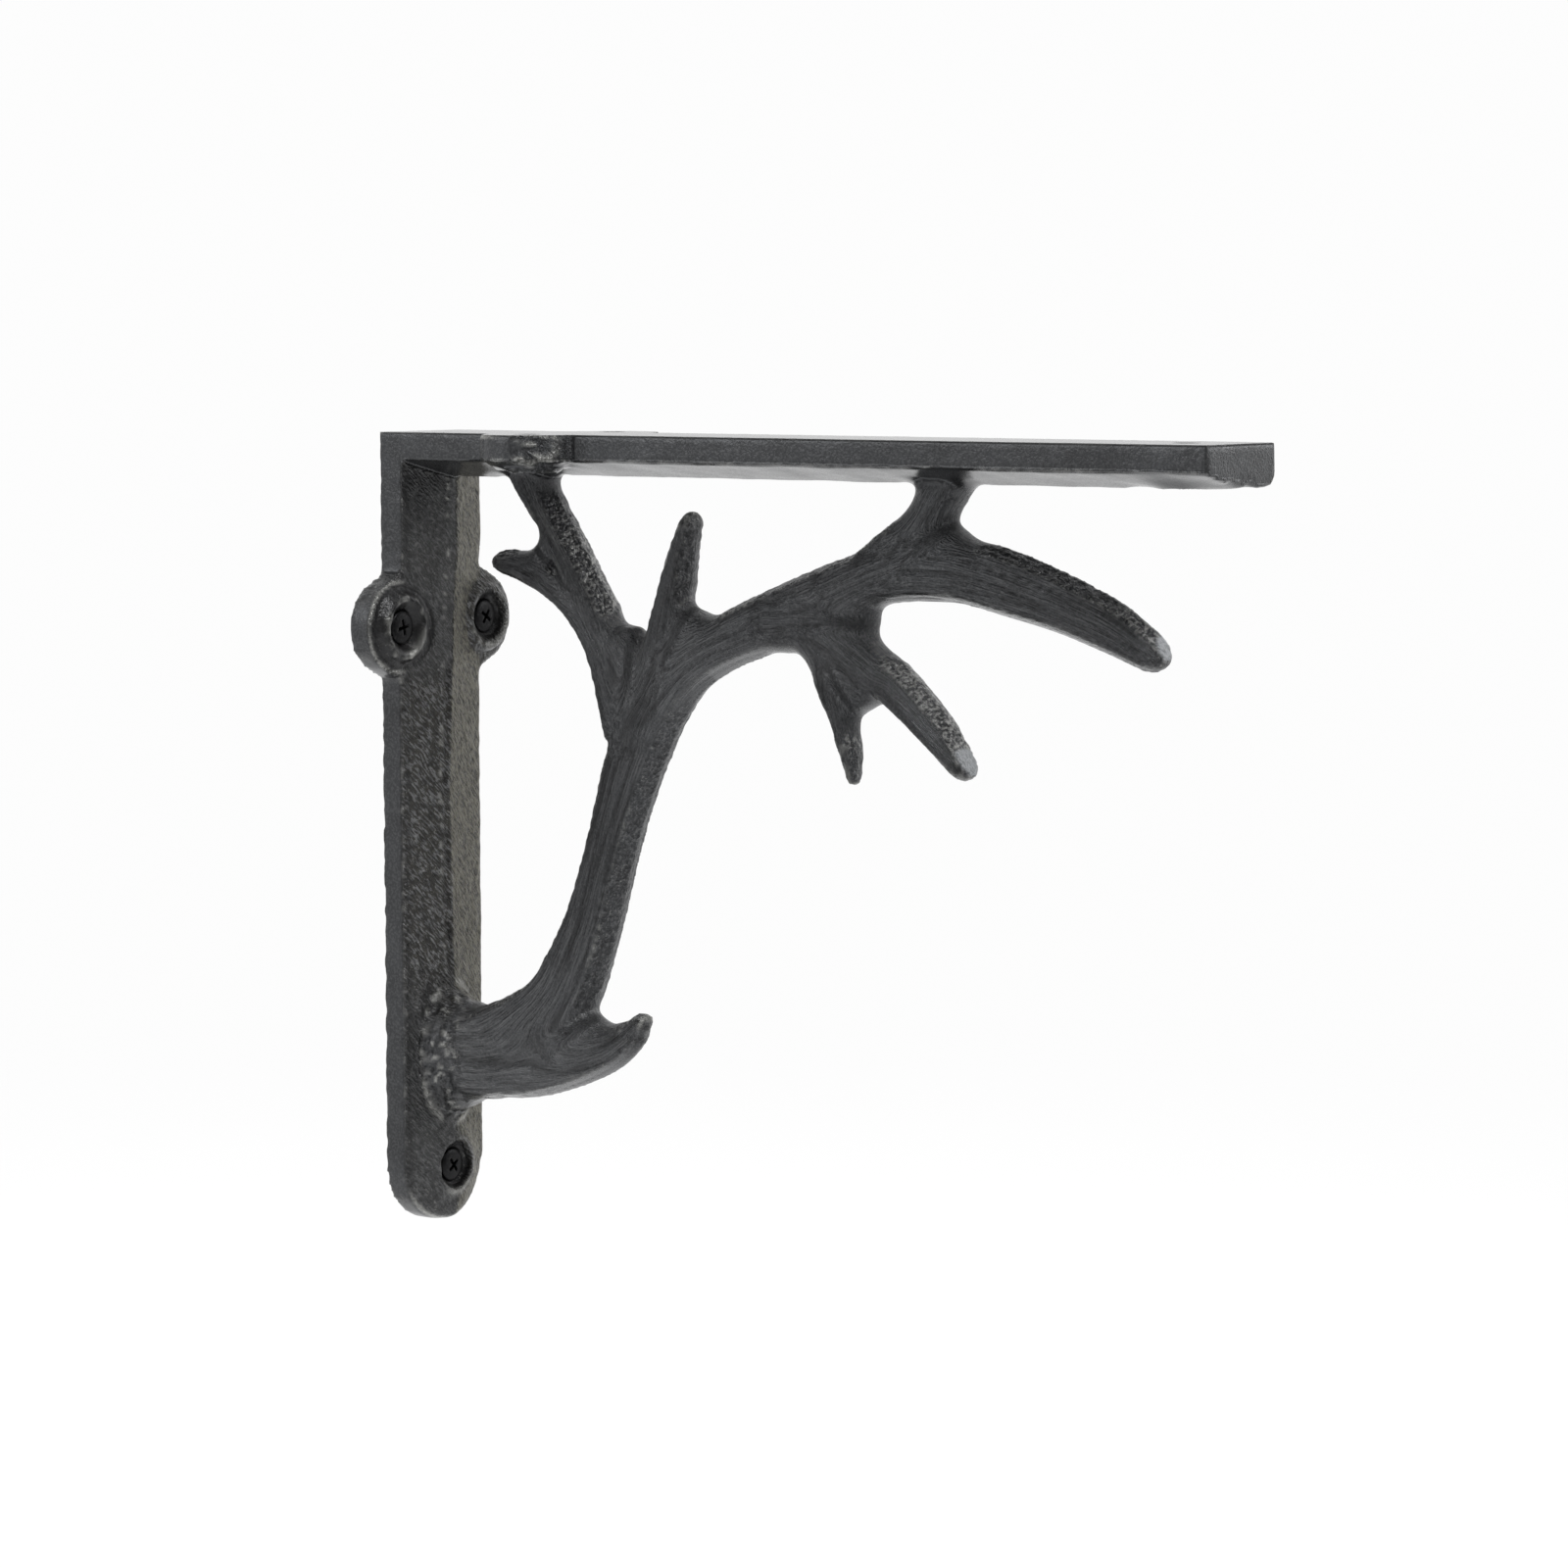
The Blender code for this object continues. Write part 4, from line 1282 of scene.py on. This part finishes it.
@dataclass(frozen=True)
class CastIron:
    """Dark satin cast iron: striated on the antler, pebbly on the straps' ridged faces."""

    dark: tuple[float, float, float, float] = (0.03, 0.03, 0.031, 1.0)
    light: tuple[float, float, float, float] = (0.078, 0.081, 0.086, 1.0)
    warm: tuple[float, float, float, float] = (0.052, 0.05, 0.045, 1.0)
    crest: tuple[float, float, float, float] = (0.17, 0.172, 0.176, 1.0)
    # Painted light on the flanks that face up
    painted_lit_tone: tuple[float, float, float, float] = (0.32, 0.32, 0.31, 1.0)
    # Painted light on the facet beyond the ridge
    far_facet_painted_light: tuple[float, float, float, float] = (0.15, 0.142, 0.11, 1.0)
    # Rubbed wear, painted highlights and painted glints
    wear_and_highlight: tuple[float, float, float, float] = (0.42, 0.42, 0.4, 1.0)
    ground: tuple[float, float, float, float] = (0.26, 0.27, 0.28, 1.0)
    roughness: float = 0.36
    metallic: float = 0.75
    stroke_angle: float = math.radians(-42.0)

    def material(self) -> bpy.types.Material:
        """Builds the material.

        Returns:
            The material.
        """
        shader = Shader("cast_iron")
        place = shader.place_mm()
        antler, flank, front, smooth = map(shader.stored, ("antler", "flank", "front", "smooth"))
        far, lit, warm, lift, pale = map(shader.stored, ("far", "lit", "warm", "lift", "pale"))
        worn, ground, painted_shade, furrow = map(shader.stored, ("worn", "ground", "painted_shade", "furrow"))
        grain = shader.stretched(shader.stored("grain", "Vector"), (1.0, 1.0, 0.045))
        lines = shader.noise(grain, 2.5, 3.0, 0.6)
        hairlines = shader.noise(grain, 4.4, 2.0)
        pebble = shader.noise(place, 0.62, 3.0, 0.6)
        grit = shader.noise(place, 1.9, 2.0)
        grains = shader.noise(place, 1.25, 2.0, 0.6)
        cloud = shader.noise(place, 0.12, 3.0)
        rungs = shader.stretched(shader.stored("grain", "Vector"), (0.3, 0.3, 1.0))
        ladder = shader.noise(rungs, 1.5, 2.0) * 0.55 + grains * 0.45
        tilted = shader.turned_about_x(place, self.stroke_angle)
        slant = shader.noise(shader.stretched(tilted, (0.4, 1.35, 0.32)), 1.75, 2.0, 0.5)
        rough_skin = shader.ramp(front + flank, 0.0, 1.0)
        smooth_antler = antler * (1.0 - flank)

        # The skin's own tone, painted light on parts of the antler, and the lines along the antler
        colour = shader.mix(shader.ramp(cloud, 0.2, 0.8) * 0.4 + 0.3, self.dark, self.light)
        colour = shader.mix(warm * 0.9, colour, self.warm)
        # Painted light: the antler's foot, brow tine and crown made lighter
        colour = shader.mix(lift, colour, self.crest)
        colour = shader.mix(smooth_antler * shader.ramp(lines, 0.5, 0.38) * 0.5, colour, self.dark)
        colour = shader.mix(smooth_antler * shader.ramp(lines, 0.5, 0.66) * 0.38, colour, self.crest)

        # Bare sides, slanted strokes on the facets, painted shade in the furrows and pits, painted
        # reflection under the antler and painted light beyond the ridge
        bare = (1.0 - front) * (1.0 - flank) * (1.0 - smooth)
        colour = shader.mix(bare * shader.ramp(grit, 0.4, 0.68) * 0.24, colour, self.crest)
        # Painted shade in the antler's furrows
        colour = shader.mix(furrow * 0.7, colour, self.dark)
        colour = shader.mix(warm * shader.ramp(slant, 0.48, 0.6), colour, self.crest)
        # Painted reflection: the antler's undersides made lighter
        colour = shader.mix(pale * 0.55, colour, self.crest)
        # Painted shade in the hollows of the pebbly skin
        pit_shade = front * 0.5 + flank * 0.5
        colour = shader.mix(pit_shade * shader.ramp(pebble, 0.52, 0.42), colour, self.dark)
        # Painted light on the wall strap's facet beyond the ridge
        colour = shader.mix(front * far * shader.ramp(slant, 0.35, 0.6) * 0.85, colour, self.far_facet_painted_light)

        # Painted light and glints on the flanks, painted shade in the cups, and what is worn, painted
        # bright or ground bright
        # Painted glints on the antler's flanks
        colour = shader.mix(flank * shader.ramp(grains, 0.48, 0.64) * 0.45, colour, self.crest)
        # Painted light on the flanks that face up
        colour = shader.mix(lit * shader.ramp(ladder, 0.44, 0.62) * 0.9, colour, self.painted_lit_tone)
        # Painted shade in the screw cups, over the near ear, in the root's pits, along the facet's
        # near edge and along the arm's side
        colour = shader.mix(painted_shade * 0.86, colour, self.dark)
        # Painted glints on the tops of the pebbles
        painted_glints = shader.ramp(grit, 0.57, 0.68) * shader.ramp(pebble, 0.5, 0.62)
        colour = shader.mix(rough_skin * painted_glints * 0.35, colour, self.wear_and_highlight)
        # Rubbed wear on convex edges, with painted highlights on rims, dots, pearls and the crumpled
        # patch
        colour = shader.mix(worn * (0.35 + grit * 0.7), colour, self.wear_and_highlight)
        colour = shader.mix(ground, colour, self.ground)

        # The bumps that are too fine for the mesh
        height = smooth_antler * (lines * 1.6 + hairlines * 0.45)
        height = height + front * (1.0 - painted_shade) * (pebble * 1.2 + slant * 2.4 + grit * 0.5)
        height = height + pebble * 0.2 + grit * 0.25
        height = height + flank * (pebble * 0.7 + grains * 1.1)
        shader.bump(height * (1.0 - smooth * 0.85), 0.6, 0.85)
        rough = self.roughness + (grit - 0.5) * 0.2 + rough_skin * 0.08 - smooth * 0.12
        shader.set(
            Base_Color=colour,
            Roughness=rough,
            Metallic=self.metallic,
        )
        return shader.material


@dataclass(frozen=True)
class BlackSteel:
    """Blackened steel of the wall screws."""

    colour: tuple[float, float, float, float] = (0.011, 0.011, 0.012, 1.0)
    worn: tuple[float, float, float, float] = (0.032, 0.032, 0.032, 1.0)
    roughness: float = 0.42

    def material(self) -> bpy.types.Material:
        """Builds the material.

        Returns:
            The material.
        """
        shader = Shader("blackened_steel")
        place = shader.place_mm()
        speckle = shader.noise(place, 1.6, 3.0)
        grit = shader.noise(place, 5.0, 2.0)
        colour = shader.mix(shader.ramp(speckle, 0.5, 0.75), self.colour, self.worn)
        shader.bump(grit, 0.06, 0.5)
        shader.set(
            Base_Color=colour, Roughness=self.roughness + (speckle - 0.5) * 0.2, Metallic=0.8
        )
        return shader.material


# The studio


@dataclass
class Studio:
    """A white room, soft lights and the camera where the photograph's stood."""

    camera_at: tuple[float, float, float] = (0.6183, -0.747, 0.0635)
    yaw: float = math.radians(34.8)
    pitch: float = math.radians(5.93)
    lens: float = 99.0
    floor_drop: float = 0.33
    floor_size: float = 1.6
    dimmest: float = 0.16
    lights: tuple[tuple[str, tuple[float, float, float], float, float], ...] = (
        ("key", (0.68, -0.12, 0.95), 0.35, 12.0),
        ("fill", (-0.45, -0.8, 0.5), 0.5, 2.5),
        ("rim", (0.7, 0.6, 0.35), 0.3, 2.0),
    )
    bright_sides: tuple[tuple[tuple[float, float, float], float, float, float], ...] = (
        ((-0.57, 0.82, 0.0), 0.0, 0.7, 1.0),
        ((-0.57, -0.82, 0.0), 0.55, 1.0, 0.62),
    )

    def camera(self) -> None:
        """Places the camera."""
        data = bpy.data.cameras.new("camera")
        data.lens = self.lens
        data.sensor_width = 36.0
        data.clip_start = 0.05
        data.clip_end = 20.0
        camera = bpy.data.objects.new("camera", data)
        camera.location = self.camera_at
        level = math.cos(self.pitch)
        ahead = Vector(
            (-math.sin(self.yaw) * level, math.cos(self.yaw) * level, -math.sin(self.pitch))
        )
        camera.rotation_euler = ahead.to_track_quat("-Z", "Y").to_euler()
        bpy.context.scene.collection.objects.link(camera)
        bpy.context.scene.camera = camera

    def softbox(self, name: str, at: tuple[float, float, float], size: float, watts: float) -> None:
        """Hangs one square soft light that faces the bracket."""
        data = bpy.data.lights.new(name, "AREA")
        data.size = size
        data.energy = watts
        light = bpy.data.objects.new(name, data)
        light.location = at
        target = Vector((0.08, 0.0, -0.03))
        light.rotation_euler = (target - Vector(at)).to_track_quat("-Z", "Y").to_euler()
        bpy.context.scene.collection.objects.link(light)

    def room(self) -> None:
        """A white surround behind the bracket, dimmer to the left and darkest past the arm's tip."""
        world = bpy.data.worlds.new("room")
        world.use_nodes = True
        bpy.context.scene.world = world
        tree = world.node_tree
        background = tree.nodes["Background"]
        way = Wire(tree, tree.nodes.new("ShaderNodeTexCoord").outputs["Generated"])
        strength: Wire | float = self.dimmest
        for toward, low, high, gain in self.bright_sides:
            dot = tree.nodes.new("ShaderNodeVectorMath")
            dot.operation = "DOT_PRODUCT"
            connect(tree, dot.inputs[0], way)
            dot.inputs[1].default_value = toward
            step = tree.nodes.new("ShaderNodeMapRange")
            step.interpolation_type = "SMOOTHSTEP"
            connect(tree, step.inputs["Value"], Wire(tree, dot.outputs["Value"]))
            step.inputs["From Min"].default_value = low
            step.inputs["From Max"].default_value = high
            strength = Wire(tree, step.outputs[0]) * gain + strength
        path = tree.nodes.new("ShaderNodeLightPath")
        seen = tree.nodes.new("ShaderNodeMix")
        tree.links.new(path.outputs["Is Camera Ray"], seen.inputs["Factor"])
        connect(tree, seen.inputs["A"], strength)
        seen.inputs["B"].default_value = 0.98
        tree.links.new(seen.outputs[0], background.inputs["Strength"])
        background.inputs["Color"].default_value = (1.0, 1.0, 1.0, 1.0)

    def floor(self) -> None:
        """A plain pale floor that fades into the surround."""
        bm = bmesh.new()
        bmesh.ops.create_grid(bm, x_segments=1, y_segments=1, size=self.floor_size)
        floor = mesh_object(bm, "floor", Matrix.Translation((0.08, 0.0, -self.floor_drop)))
        shader = Shader("floor_paper")
        shader.set(
            Base_Color=(0.1, 0.1, 0.1, 1.0),
            Roughness=0.9,
            Emission_Color=(1.0, 1.0, 1.0, 1.0),
            Emission_Strength=0.93,
        )
        place = shader.wire(shader.node("ShaderNodeTexCoord"), "Object")
        reach = shader.wire(
            shader.node("ShaderNodeVectorMath", {"operation": "LENGTH"}, Vector=place), "Value"
        )
        fade = shader.ramp(reach, 0.45, self.floor_size - 0.1)
        clear = shader.node("ShaderNodeBsdfTransparent")
        blend = shader.node("ShaderNodeMixShader", Fac=fade)
        shader.tree.links.new(shader.surface.outputs[0], blend.inputs[1])
        shader.tree.links.new(clear.outputs[0], blend.inputs[2])
        output = next(n for n in shader.tree.nodes if n.type == "OUTPUT_MATERIAL")
        shader.tree.links.new(blend.outputs[0], output.inputs["Surface"])
        floor.data.materials.append(shader.material)

    def build(self) -> None:
        """Sets up the camera, the lights, the surround and the floor."""
        bpy.context.scene.view_settings.view_transform = "Standard"
        self.camera()
        self.room()
        self.floor()
        for light in self.lights:
            self.softbox(*light)


def main() -> None:
    """Builds the bracket and its studio, and reports each piece."""
    logging.basicConfig(level=logging.INFO, format="%(message)s")
    Studio().build()
    pieces = [Casting().build(CastIron())]
    steel = BlackSteel()
    half = HOLE_SPACING / 2
    # Each screw's name, distance from the corner, place across, height of face and turn of cross
    screws = (
        WallScrew("left", ear_from_corner(Side.NEAR), -half, 7.2, math.radians(12.0)),
        WallScrew("right", ear_from_corner(Side.FAR), half, 7.2, math.radians(55.0)),
        WallScrew("lower", LOWER_HOLE_DROP, 0.0, 8.3, math.radians(38.0)),
    )
    pieces += [screw.build(steel) for screw in screws]
    for piece in pieces:
        faces = sum(len(p.vertices) - 2 for p in piece.data.polygons)
        LOG.info("%s: %d triangles", piece.name, faces)


if __name__ == "__main__":
    main()
